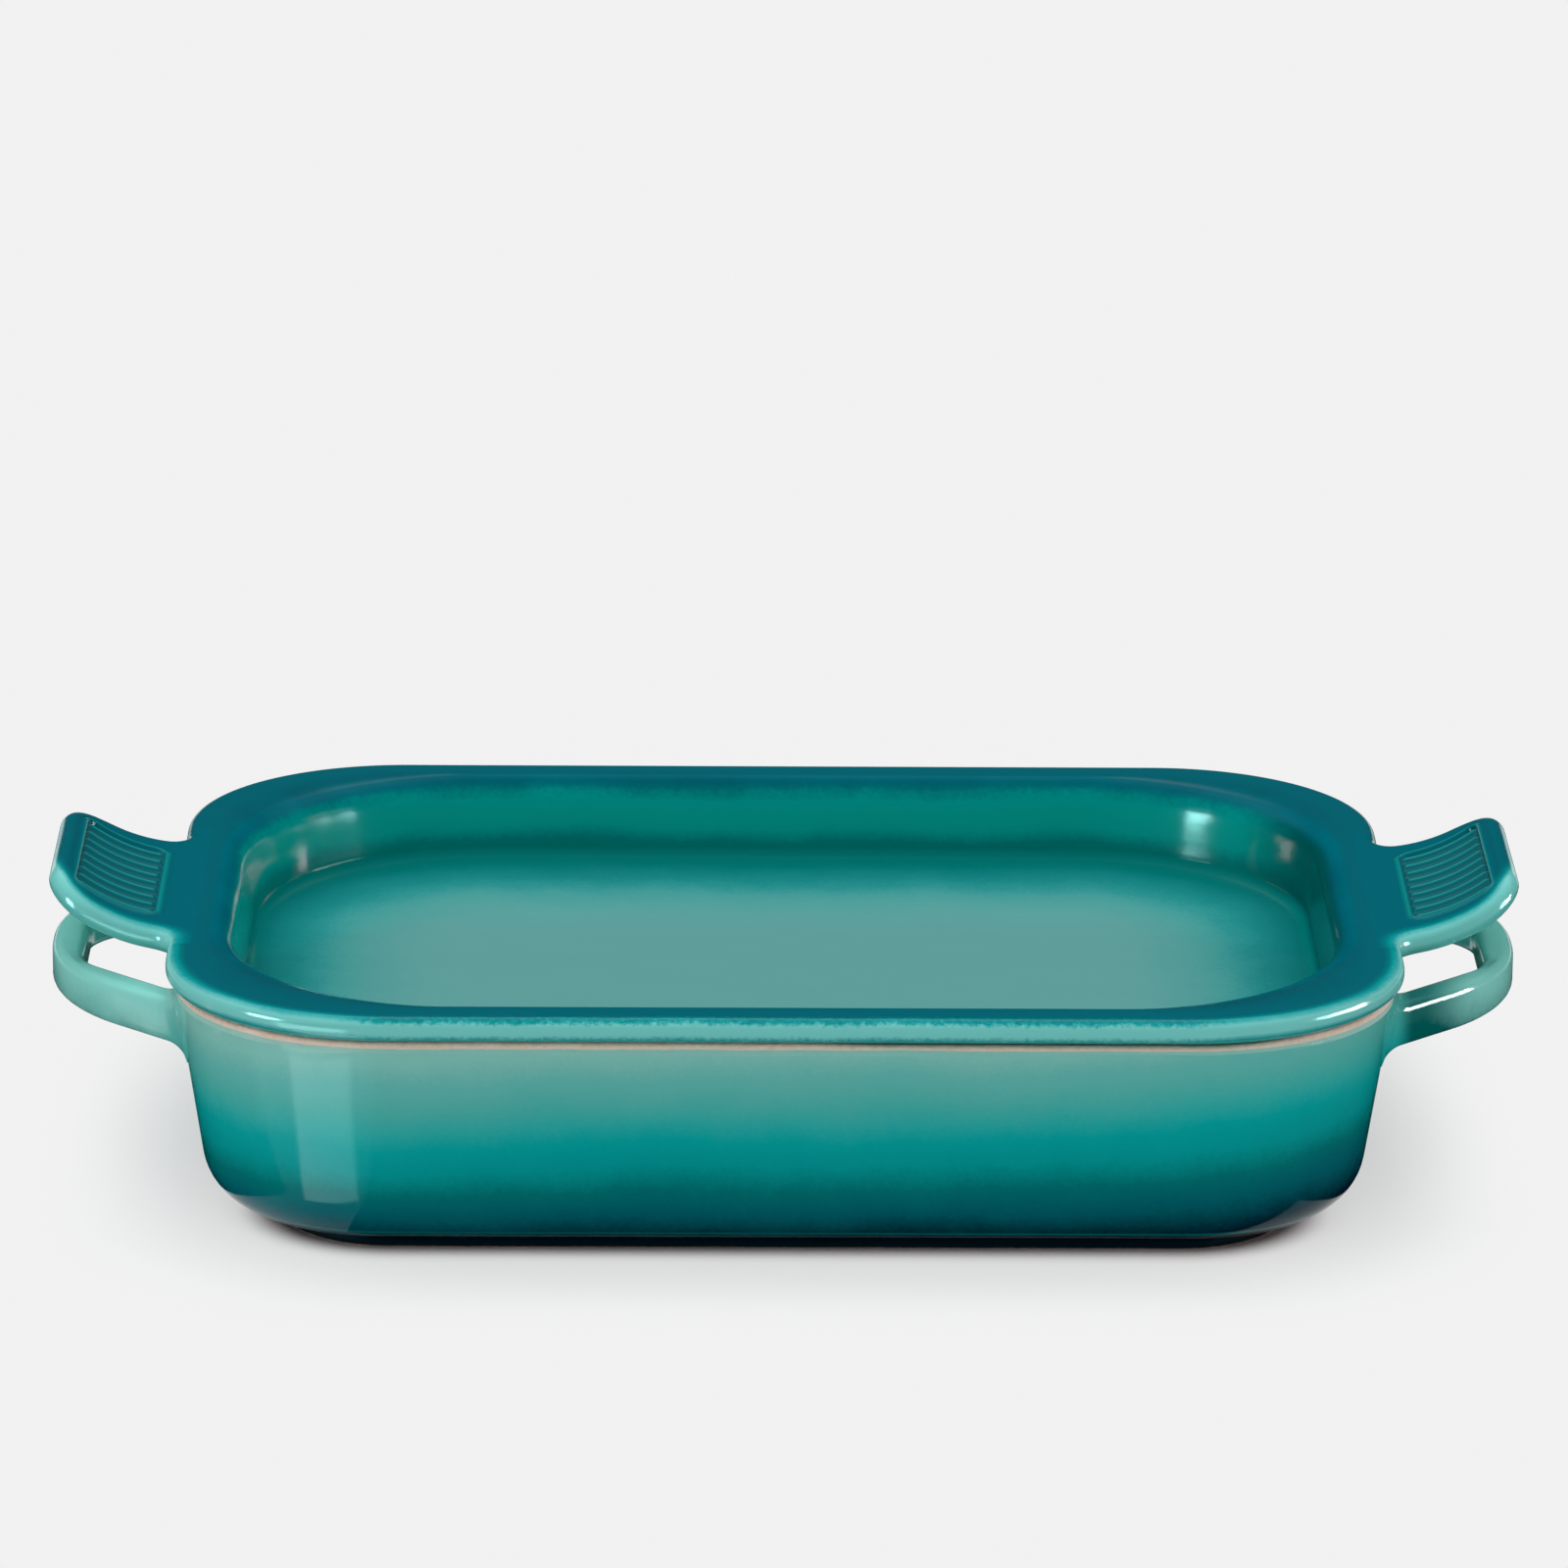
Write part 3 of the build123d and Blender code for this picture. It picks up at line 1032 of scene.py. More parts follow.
def rounded_section(corners: Places, radii: tuple[float, ...], arc_steps: int,
                    spacing: float) -> np.ndarray:
    """Rounds the corners of an open section and fills its straight runs with evenly spaced points.

    A corner of radius r between two runs that meet at an angle 2h is cut back by r / tan(h) on both runs,
    and an arc about the point r / sin(h) along the corner's bisector joins the cuts.

    Args:
        corners: the section's points, in metres.
        radii: the radius at each point, 0 where it stays sharp.
        arc_steps: steps in each arc.
        spacing: the longest straight step, in metres.

    Returns:
        The section's points, one row each.
    """
    points = np.array(corners, float)
    pieces: list[np.ndarray] = []
    for place, radius in enumerate(radii):
        here = points[place]
        if radius == 0.0:
            pieces.append(here[None])
            continue
        back = points[place - 1] - here
        ahead = points[place + 1] - here
        back, ahead = back / np.linalg.norm(back), ahead / np.linalg.norm(ahead)
        half = np.arccos(np.clip(back @ ahead, -1.0, 1.0)) / 2
        middle = (back + ahead) / np.linalg.norm(back + ahead)
        centre = here + middle * radius / np.sin(half)
        start = here + back * radius / np.tan(half) - centre
        end = here + ahead * radius / np.tan(half) - centre
        first = np.arctan2(start[1], start[0])
        sweep = (np.arctan2(end[1], end[0]) - first + np.pi) % (2 * np.pi) - np.pi
        turn = first + sweep * np.linspace(0.0, 1.0, arc_steps + 1)
        pieces.append(centre + radius * np.stack([np.cos(turn), np.sin(turn)], -1))
    filled = [pieces[0]]
    for before, after in zip(pieces, pieces[1:]):
        run = after[0] - before[-1]
        steps = max(int(np.ceil(np.linalg.norm(run) / spacing)), 1)
        share = np.linspace(0.0, 1.0, steps + 1)[1:-1, None]
        filled += [before[-1] + run * share, after]
    return np.concatenate(filled)


def band_section(first: float, last: float, sunk: float, face: float, radius: float) -> np.ndarray:
    """The section of a band whose two long edges are rounded and whose other side is sunk in its neighbour.

    Args:
        first, last: the insets of its two sides, in the order in which the section runs.
        sunk: the height of its sunk ends.
        face: the height of its face.
        radius: the radius of its edges.

    Returns:
        Rows of inset and height.
    """
    corners = [(first, sunk), (first, face), (last, face), (last, sunk)]
    return rounded_section(corners, (0.0, radius, radius, 0.0), 8, 0.001)


class Ends(Enum):
    """How a carried section closes."""

    JOINED = "its last point joins its first, as in a ring"
    POOLED = "both its ends run level to the middle, as in a bowl"


@dataclass
class Shell:
    """A grid of points that becomes a closed mesh.

    Attributes:
        name: the piece's name.
        points: its points.
        faces: its faces, by the numbers of their points.
        values: numbers at the points that its material reads, by name.
        weld_distance: how near two points are that become one, in metres.
        crease: the angle from which an edge is sharp, in degrees.
    """

    name: str
    points: np.ndarray
    faces: list[list[int]]
    values: dict[str, np.ndarray] = field(default_factory=dict)
    weld_distance: float = 1e-6
    crease: float = 50.0

    def make(self, body: str, slot: str, finish: bpy.types.Material, *nodes: str) -> None:
        """Makes the object, dresses it and lets it ride on its body in place of the CAD nodes.

        Args:
            body: the body that it moves with.
            slot: the name of a material slot, which is not used.
            finish: its material.
            nodes: the CAD nodes that it stands for.
        """
        mesh = bpy.data.meshes.new(self.name)
        mesh.from_pydata(self.points.reshape(-1, 3).tolist(), [], self.faces)
        for label, value in self.values.items():
            carried_value = mesh.attributes.new(label, "FLOAT", "POINT").data
            carried_value.foreach_set("value", value.ravel().astype(np.float32))
        work = bmesh.new()
        work.from_mesh(mesh)
        bmesh.ops.remove_doubles(work, verts=work.verts, dist=self.weld_distance)
        work.to_mesh(mesh)
        work.free()
        mesh.polygons.foreach_set("use_smooth", [True] * len(mesh.polygons))
        mesh.set_sharp_from_angle(angle=math.radians(self.crease))
        mesh.materials.append(finish)
        mesh.update()
        made = bpy.data.objects.new(self.name, mesh)
        bpy.context.scene.collection.objects.link(made)
        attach(made, body)
        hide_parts(*nodes)
        log.info("%s: %d faces, wears %s", self.name, len(self.faces), finish.name)


def grid_faces(rows: int, columns: int, rows_join: bool, columns_join: bool) -> list[list[int]]:
    """The quads of a grid whose point (row, column) has the number row * columns + column.

    Args:
        rows, columns: the grid's size.
        rows_join, columns_join: whether the last one joins the first.

    Returns:
        The faces.
    """
    row = np.arange(rows if rows_join else rows - 1)[:, None]
    column = np.arange(columns if columns_join else columns - 1)[None]
    next_row, next_column = (row + 1) % rows, (column + 1) % columns
    corners = (row * columns + column, row * columns + next_column,
               next_row * columns + next_column, next_row * columns + column)
    return np.stack(np.broadcast_arrays(*corners), -1).reshape(-1, 4).tolist()


def capped_tube(rows: int, columns: int) -> list[list[int]]:
    """The faces of a tube whose rows go round it and whose columns run along it, with a cap at each end.

    Args:
        rows, columns: the grid's size.

    Returns:
        The faces.
    """
    first = [row * columns for row in range(rows)]
    last = [row * columns + columns - 1 for row in reversed(range(rows))]
    return grid_faces(rows, columns, True, False) + [first, last]


def pooled(name: str, rings: np.ndarray) -> Shell:
    """Closes a stack of rings, by running the first and the last level to the middle.

    Args:
        name: the piece's name.
        rings: points by ring and column, outwards underneath and inwards above.

    Returns:
        The shell.
    """
    count = rings.shape[1]
    middle = np.array([0.0, 0.0, 1.0])
    pool = np.linspace(0.0, 1.0, 9)[1:-1, None, None]
    under = rings[:1] * (middle + (1 - middle) * pool)
    floor = rings[-1:] * (middle + (1 - middle) * pool[::-1])
    points = np.concatenate([under, rings, floor])
    faces = grid_faces(len(points), count, False, True)
    last = len(points) * count
    step = np.arange(count)
    ahead = (step + 1) % count
    low_fan = np.stack([ahead, step, np.full(count, last)], -1).tolist()
    top_row = last - count
    high_fan = np.stack([top_row + step, top_row + ahead, np.full(count, last + 1)], -1).tolist()
    poles = rings[[0, -1], 0] * middle
    return Shell(name, np.concatenate([points.reshape(-1, 3), poles]), faces + low_fan + high_fan)


def carried(name: str, outline: Outline, section: np.ndarray, ends: Ends, sway: float = 0.0) -> Shell:
    """Carries a section round an outline.

    A point is the outline's point, moved inwards along the outline's direction by the section's inset, at
    the section's height. Sway draws it a little further in, by slow waves along the outline and up the
    section.

    Args:
        name: the piece's name.
        outline: the outline that the insets are measured from.
        section: rows of inset and height, running outwards underneath and inwards above.
        ends: how the section closes.
        sway: the largest extra inset, in metres.

    Returns:
        The shell.
    """
    around, facing = outline.loop()
    count = len(around)
    phase = np.linspace(0.0, 2 * np.pi, count, endpoint=False)[None]
    height = section[:, 1:2]
    wave = 0.5 + 0.25 * np.sin(3 * phase + 55 * height) + 0.25 * np.sin(7 * phase - 90 * height + 1.3)
    inset = section[:, :1] + sway * wave
    flat = around[None] - inset[..., None] * facing[None]
    level = np.broadcast_to(height[..., None], (len(section), count, 1))
    points = np.concatenate([flat, level], -1)
    if ends is Ends.JOINED:
        return Shell(name, points, grid_faces(len(section), count, True, True))
    return pooled(name, points)


def mirrored(shell: Shell, name: str) -> Shell:
    """The same shell at the other end, with its faces turned so that they still face outwards.

    Args:
        shell: the shell.
        name: the mirrored piece's name.

    Returns:
        The mirrored shell.
    """
    faces = [face[::-1] for face in shell.faces]
    return Shell(name, shell.points * np.array([-1.0, 1.0, 1.0]), faces, shell.values)


def inset_corners(corners: Places, inset: float) -> Places:
    """Moves an open run of corners to its left, every straight side by the same inset.

    A corner whose sides face n1 and n2 moves by inset * (n1 + n2) / (1 + n1 . n2).

    Args:
        corners: the corners, in metres.
        inset: how far each side moves, in metres.

    Returns:
        The moved corners.
    """
    points = np.array(corners, float)
    along = np.diff(points, axis=0)
    along /= np.linalg.norm(along, axis=1)[:, None]
    left = np.stack([-along[:, 1], along[:, 0]], -1)
    before = np.concatenate([left[:1], left])
    after = np.concatenate([left, left[-1:]])
    both = 1 + (before * after).sum(1)
    return [tuple(row) for row in points + inset * (before + after) / both[:, None]]


def facing_right(path: np.ndarray) -> np.ndarray:
    """The unit direction to the right of a path in plan.

    Args:
        path: the path's points, one row each.

    Returns:
        The direction at each point.
    """
    along = np.gradient(path, axis=0)
    along /= np.linalg.norm(along, axis=1)[:, None]
    return np.stack([along[:, 1], -along[:, 0]], -1)


def width_across(path: np.ndarray, facing: np.ndarray, inner: np.ndarray) -> np.ndarray:
    """How far inwards from each point of a path an inner path lies, along the inward direction.

    Each inner side from a to b is met where point - w * facing = a + s * (b - a), with s between 0 and 1,
    and the nearest side that is met counts.

    Args:
        path: the outer path's points.
        facing: the outward direction at each of them.
        inner: the inner path's points.

    Returns:
        The width at each point, in metres.
    """
    least = 1e-12
    start, side = inner[:-1][None], np.diff(inner, axis=0)[None]
    gap = path[:, None] - start
    cross = facing[:, None, 0] * side[..., 1] - facing[:, None, 1] * side[..., 0]
    cross = np.where(np.abs(cross) < least, least, cross)
    width = (gap[..., 0] * side[..., 1] - gap[..., 1] * side[..., 0]) / cross
    share = (gap[..., 0] * facing[:, None, 1] - gap[..., 1] * facing[:, None, 0]) / cross
    met = (share > -1e-6) & (share < 1 + 1e-6) & (width > 0)
    return np.where(met, width, np.inf).min(1)


def slope_round(values: np.ndarray) -> np.ndarray:
    """How fast a closed row of numbers changes at each of them, by its two neighbours.

    Args:
        values: the numbers.

    Returns:
        The changes, one for each number.
    """
    return np.gradient(np.concatenate([values[-1:], values, values[:1]]))[1:-1]


@dataclass
class Handle:
    """A loop of flat bar that leaves the end wall of the dish and comes back to it. In metres."""

    wall: float = DISH_WALL.half_length
    wall_corner: float = DISH_WALL.corner
    wall_straight: float = DISH_WALL.half_width - DISH_WALL.corner
    reach: float = 0.188
    root_half_width: float = 0.060
    tip_half_width: float = 0.02688
    bar: float = 0.0086
    bottom: float = 0.0418
    height: float = 0.0117
    elbow_round: float = 0.011
    outer_flat_share: float = 0.08
    inner_flat_share: float = 0.65
    edge_round: float = 0.0027
    root_round: float = 0.0048
    blend_depth: float = 0.0002
    top_blend_share: float = 0.55
    buried_start: float = 0.1486
    spacing: float = 0.0004

    def fallen_back(self, side: np.ndarray) -> np.ndarray:
        """How far the wall has fallen back at a distance d to the side: r - sqrt(r^2 - d^2) in its corner.

        Args:
            side: the places along Y, in metres.

        Returns:
            How far the wall lies behind its straight part.
        """
        past = np.clip(np.abs(side) - self.wall_straight, 0.0, self.wall_corner)
        return self.wall_corner - np.sqrt(self.wall_corner ** 2 - past ** 2)

    def path(self, inset: float, flat_share: float, start: float) -> np.ndarray:
        """The plan line of the bar's outer or inner side, from the root at -Y to the root at +Y.

        Args:
            inset: how far inside the outer side it lies.
            flat_share: how much of the tip stays straight.
            start: where along X it begins, inside the wall.

        Returns:
            The line's points.
        """
        half_turn = math.atan2(self.reach - self.wall, self.root_half_width - self.tip_half_width) / 2
        straight = self.tip_half_width - inset * math.tan(half_turn)
        nose = straight * (1 - flat_share) / math.tan(half_turn)
        corners = [(start, -self.root_half_width), (self.wall, -self.root_half_width),
                   (self.reach, -self.tip_half_width), (self.reach, self.tip_half_width),
                   (self.wall, self.root_half_width), (start, self.root_half_width)]
        radii = (0.0, self.elbow_round, nose, nose, self.elbow_round, 0.0)
        return rounded_section(inset_corners(corners, inset), radii, 36, self.spacing)

    def ring(self) -> tuple[np.ndarray, np.ndarray, np.ndarray]:
        """The bar's own section, up on the outer side, over and down, with a quarter turn at each corner.

        Returns:
            Each point's share of the width, its extra distance across and its height.
        """
        turn = np.linspace(0.0, np.pi / 2, 7)
        r, top = self.edge_round, self.height
        by_sine, by_cosine = r * np.sin(turn), r * np.cos(turn)
        none = np.zeros_like(turn)
        share = np.concatenate([none, none, [0.42, 0.58], none + 1, none + 1, [0.58, 0.42]])
        shift = np.concatenate([r - by_sine, r - by_cosine, [0, 0], by_sine - r, by_cosine - r, [0, 0]])
        height = np.concatenate([r - by_cosine, top - r + by_sine, [top, top],
                                 top - r + by_cosine, r - by_sine, [0, 0]])
        return share, shift, height

    def shell(self, name: str) -> Shell:
        """The right handle as a closed shell.

        The ring is set across the outer path, as wide as the gap to the inner path. Within the root's
        radius r of the wall, at a distance d, each point moves out of the bar by
        r - sqrt(r^2 - (r - d)^2), which is the fillet. On the bar's upper side it is flatter, so that it
        stays under the rim. The nearer a point is to the wall, the more it also follows the wall's curve
        and lean.

        Args:
            name: the piece's name.

        Returns:
            The shell.
        """
        outer = self.path(0.0, self.outer_flat_share, self.buried_start)
        inner = self.path(self.bar, self.inner_flat_share, self.buried_start - self.bar)
        facing = facing_right(outer)
        width = width_across(outer, facing, inner)
        share, shift, height = self.ring()
        across = share[:, None] * width[None] + shift[:, None]
        level = np.broadcast_to(self.bottom + height[:, None], across.shape)
        out_across = -np.broadcast_to(slope_round(height)[:, None], across.shape)
        out_up = slope_round(shift)[:, None] + slope_round(share)[:, None] * width[None]
        size = np.hypot(out_across, out_up)
        out_across, out_up = out_across / size, out_up / size
        flat = outer[None] - across[..., None] * facing[None]
        past = (flat[..., 0] - self.wall + self.blend_depth + (WALL_TOP - level) * WALL_LEAN
                + self.fallen_back(flat[..., 1]))
        near = np.clip(self.root_round - past, 0.0, self.root_round)
        swell = self.root_round - np.sqrt(self.root_round ** 2 - near ** 2)
        moved = flat - (swell * out_across)[..., None] * facing[None]
        rise_by = swell * np.where(out_up > 0, self.top_blend_share, 1.0) * out_up
        follow = rise_by * WALL_LEAN - self.fallen_back(moved[..., 1]) + self.fallen_back(flat[..., 1])
        moved[..., 0] += follow * near / self.root_round
        points = np.concatenate([moved, (level + rise_by)[..., None]], -1)
        return Shell(name, points, capped_tube(*across.shape))


@dataclass
class Grip:
    """A tab that curls up from the end of the lid, with a sunk, framed panel of ribs. In metres."""

    start: float = 0.1495
    lid_end: float = LID_FLANGE.half_length
    bend_line: float = BEND_LINE
    bend_axis: float = BEND_AXIS
    bend_radius: float = BEND_RADIUS
    half_thickness: float = HALF_PLATE
    edge_round: float = 0.0028
    split_half_width: float = 0.050
    root_half_width: float = 0.0395
    tip_half_width: float = 0.0358
    sweep: float = math.radians(45)
    root_round: float = 0.006
    tip_round: float = 0.015
    panel_start: float = 0.16096
    panel_end: float = 0.18439
    panel_half_width: float = 0.0274
    panel_corner: float = 0.0035
    panel_depth: float = 0.0009
    step_out: float = 0.00015
    step_width: float = 0.0007
    frame_width: float = 0.0013
    frame_height: float = 0.00045
    frame_softness: float = 0.42
    rib_pitch: float = 0.00615
    rib_count: int = 9
    rib_half_width: float = 0.0014
    rib_height: float = 0.0009
    rib_softness: float = 0.0001
    rib_end_gap: float = 0.0016
    fine_end: float = 0.1858
    fine_share: float = 0.985
    petrol_reach: float = 0.0045
    petrol_rise: float = 0.3
    spacing: float = 0.0004

    def relief(self, along: np.ndarray, across: np.ndarray) -> tuple[np.ndarray, np.ndarray]:
        """The panel's pattern on the grip's face.

        The distance to the panel's rounded rectangle makes a soft step down inside it and a low ridge
        just outside. Each rib is a round rod half sunk in the panel's floor: the rod's radius R follows
        from its half width and height, and at a distance d from its middle line it stands
        sqrt(R^2 - d^2) - (R - height) proud.

        Args:
            along, across: places in the unrolled plate, in metres.

        Returns:
            The height above the face, and the crest value: 1 on a rib, -1 between ribs.
        """
        half_length = (self.panel_end - self.panel_start) / 2
        from_middle = np.abs(along - (self.panel_end + self.panel_start) / 2)
        qx = from_middle - half_length + self.panel_corner
        qy = np.abs(across) - self.panel_half_width + self.panel_corner
        outside = np.hypot(np.maximum(qx, 0), np.maximum(qy, 0)) + np.minimum(np.maximum(qx, qy), 0)
        outside -= self.panel_corner
        sunk = soft_step(np.clip((self.step_out - outside) / self.step_width, 0, 1))
        frame_off = (outside - self.frame_width / 2) / (self.frame_softness * self.frame_width)
        ridge = np.exp(-frame_off ** 2)
        radius = (self.rib_half_width ** 2 + self.rib_height ** 2) / (2 * self.rib_height)
        nearest = np.clip(np.round(across / self.rib_pitch), -(self.rib_count // 2), self.rib_count // 2)
        aside = across - nearest * self.rib_pitch
        beyond = np.maximum(from_middle - half_length + self.rib_end_gap, 0)
        under_root = np.maximum(radius ** 2 - np.hypot(aside, beyond) ** 2, 0)
        stands = np.sqrt(under_root) - (radius - self.rib_height)
        rib = self.rib_softness * np.logaddexp(0, stands / self.rib_softness)
        crest = np.clip(ridge + np.clip(rib / self.rib_height, 0, 1) * sunk, 0, 1)
        lift = self.frame_height * ridge + sunk * (rib - self.panel_depth)
        return lift, crest ** 3 - sunk * (1 - crest)

    def rim(self) -> np.ndarray:
        """The tab's outline in the unrolled plate, from the lid round the tip and back to the lid.

        Returns:
            The outline's points.
        """
        tip = self.bend_line + self.bend_radius * self.sweep
        corners = [(self.lid_end, -self.split_half_width), (self.lid_end, -self.root_half_width),
                   (tip, -self.tip_half_width), (tip, self.tip_half_width),
                   (self.lid_end, self.root_half_width), (self.lid_end, self.split_half_width)]
        radii = (0.0, self.root_round, self.tip_round, self.tip_round, self.root_round, 0.0)
        return rounded_section(corners, radii, 48, self.spacing)

    def edge(self) -> tuple[np.ndarray, np.ndarray]:
        """The rounded edge from below to above.

        Returns:
            How far inside the rim each point lies, and its height from the plate's middle.
        """
        turn = np.linspace(0, np.pi / 2, 9)
        lower, upper = turn[1:], turn[:-1]
        straight = self.half_thickness - self.edge_round
        depth = self.edge_round * np.concatenate([1 - np.sin(lower), 1 - np.cos(upper)])
        rise = np.concatenate([-straight - self.edge_round * np.cos(lower),
                               straight + self.edge_round * np.sin(upper)])
        return depth, rise

    def curled(self, u: np.ndarray, v: np.ndarray, h: np.ndarray) -> np.ndarray:
        """Curls the plate: past the bend line, u turns into an angle of (u - bend line) / R about the axis.

        The height h is taken off the radius R.

        Args:
            u, v: places away from the lid and across, in the unrolled plate.
            h: heights from the plate's middle.

        Returns:
            The points.
        """
        past = np.maximum(u - self.bend_line, 0) / self.bend_radius
        radius = self.bend_radius - h
        x = np.minimum(u, self.bend_line) + radius * np.sin(past)
        return np.stack([x, v, self.bend_axis - radius * np.cos(past)], -1)

    def shell(self, name: str) -> Shell:
        """The right grip as a closed shell, with its skin and crest values.

        Every column runs under the plate from the lid to the rim, round the edge and back over the top,
        with fine steps where the panel is.

        Args:
            name: the piece's name.

        Returns:
            The shell.
        """
        rim = self.rim()
        facing = facing_right(rim)
        face_end = rim - self.edge_round * facing
        across = face_end[None, :, 1]
        run = face_end[:, 0] - self.start
        fine = np.minimum(self.fine_end, self.start + run * self.fine_share)
        share = np.concatenate([np.linspace(0, 0.3, 8)[:-1], np.linspace(0.3, 1, 76)])[:, None]
        over = np.concatenate([self.start + (fine - self.start) * share, face_end[None, :, 0]])[::-1]
        under = self.start + run * np.linspace(0, 1, 24)[:, None]
        lift, crest = self.relief(over, across + 0 * over)
        depth, rise = self.edge()
        edge = rim[None] - depth[:, None, None] * facing[None]
        flat = np.zeros_like(under)
        level = flat[:1] + rise[:, None]
        u = np.concatenate([under, edge[..., 0], over])
        v = np.concatenate([flat + across, edge[..., 1], 0 * over + across])
        h = np.concatenate([flat - self.half_thickness, level, lift + self.half_thickness])
        away = np.hypot(over[..., None] - rim[:, 0], across[..., None] - rim[:, 1]).min(-1)
        inside = self.petrol_rise * np.clip((away - self.edge_round) / self.petrol_reach, 0, 1)
        skin = np.concatenate([flat, (level / self.half_thickness + 1) / 2, 1 + inside])
        values = {"skin": skin, "crest": np.concatenate([flat, 0 * level, crest])}
        return Shell(name, self.curled(u, v, h), capped_tube(*u.shape), values)


@dataclass
class Dish:
    """The lower body: bowl, rim band, foot ring and two loop handles. Sizes are in metres."""

    effects: Effects
    body: str = "dish"
    outline: Outline = DISH_WALL
    wall: float = 0.006
    rim_top: float = 0.0595
    base: float = 0.002
    floor: float = 0.009
    outer_round: float = 0.015
    inner_round: float = 0.012
    glaze_bead: float = 0.0005
    sway: float = 0.00012
    middle_inset: float = 0.046
    rim_round: float = 0.0011
    rim_sunk: float = 0.0008
    clay_setback: float = 0.00015
    rim_dip: float = 0.0004
    dip_from: float = 0.004
    dip_to: float = 0.130
    dip_slope: float = 0.02
    foot: Outline = DISH_FOOT
    foot_width: float = 0.006
    foot_top: float = 0.004
    foot_round: float = 0.0008

    def build(self) -> None:
        """Makes the five members, each in place of its CAD node."""
        glaze = DishGlaze("dish_glaze", roughness=0.13).dress(self.effects)
        clay = RimClay("bare_clay", roughness=0.75, red_kept=1.0, peel=0.3).dress(self.effects)
        foot = FootGlaze("foot_glaze", roughness=0.2).dress(self.effects)
        loop = HandleGlaze("handle_glaze", roughness=0.12).dress(self.effects)
        self.bowl().make(self.body, "dish_glaze", glaze, "dish_bowl")
        self.rim_band().make(self.body, "bare_clay", clay, "dish_rim_land")
        self.foot_ring().make(self.body, "foot_glaze", foot, "dish_foot_ring")
        right = Handle().shell("loop_handle_right")
        right.make(self.body, "handle_glaze", loop, "dish_handle_right")
        mirrored(right, "loop_handle_left").make(self.body, "handle_glaze", loop, "dish_handle_left")

    def bowl(self) -> Shell:
        """The bowl: a leaning wall that rounds into a flat base, and the same inside it.

        Returns:
            The shell.
        """
        fall = WALL_TOP - self.base
        inner_fall = WALL_TOP - self.floor
        corners = [(self.middle_inset, self.base), (fall * WALL_LEAN, self.base), (0.0, WALL_TOP),
                   (self.wall, WALL_TOP), (self.wall + inner_fall * WALL_LEAN, self.floor),
                   (self.middle_inset, self.floor)]
        radii = (0.0, self.outer_round, self.glaze_bead, self.glaze_bead, self.inner_round, 0.0)
        section = rounded_section(corners, radii, 12, 0.004)
        return carried("stoneware_bowl", self.outline, section, Ends.POOLED, self.sway)

    def rim_band(self) -> Shell:
        """The bare band on top of the wall, a hair inside the glaze that stops below it.

        It dips a little at the front right, where a thin gap shows under the lid.

        Returns:
            The shell.
        """
        section = band_section(self.clay_setback, self.wall - self.clay_setback,
                               WALL_TOP - self.rim_sunk, self.rim_top, self.rim_round)
        band = carried("bare_rim_band", self.outline, section, Ends.JOINED)
        x, y, z = np.moveaxis(band.points, -1, 0)
        window = np.clip((x - self.dip_from) / self.dip_slope, 0, 1) * (y < 0)
        window *= np.clip((self.dip_to - x) / self.dip_slope, 0, 1)
        z -= self.rim_dip * soft_step(window) * np.clip((z - WALL_TOP) / 0.001, 0, 1)
        return band

    def foot_ring(self) -> Shell:
        """The standing ring, whose top is sunk in the bowl's underside.

        Returns:
            The shell.
        """
        section = band_section(self.foot_width, 0.0, self.foot_top, 0.0, self.foot_round)
        return carried("standing_foot_ring", self.foot, section, Ends.JOINED)


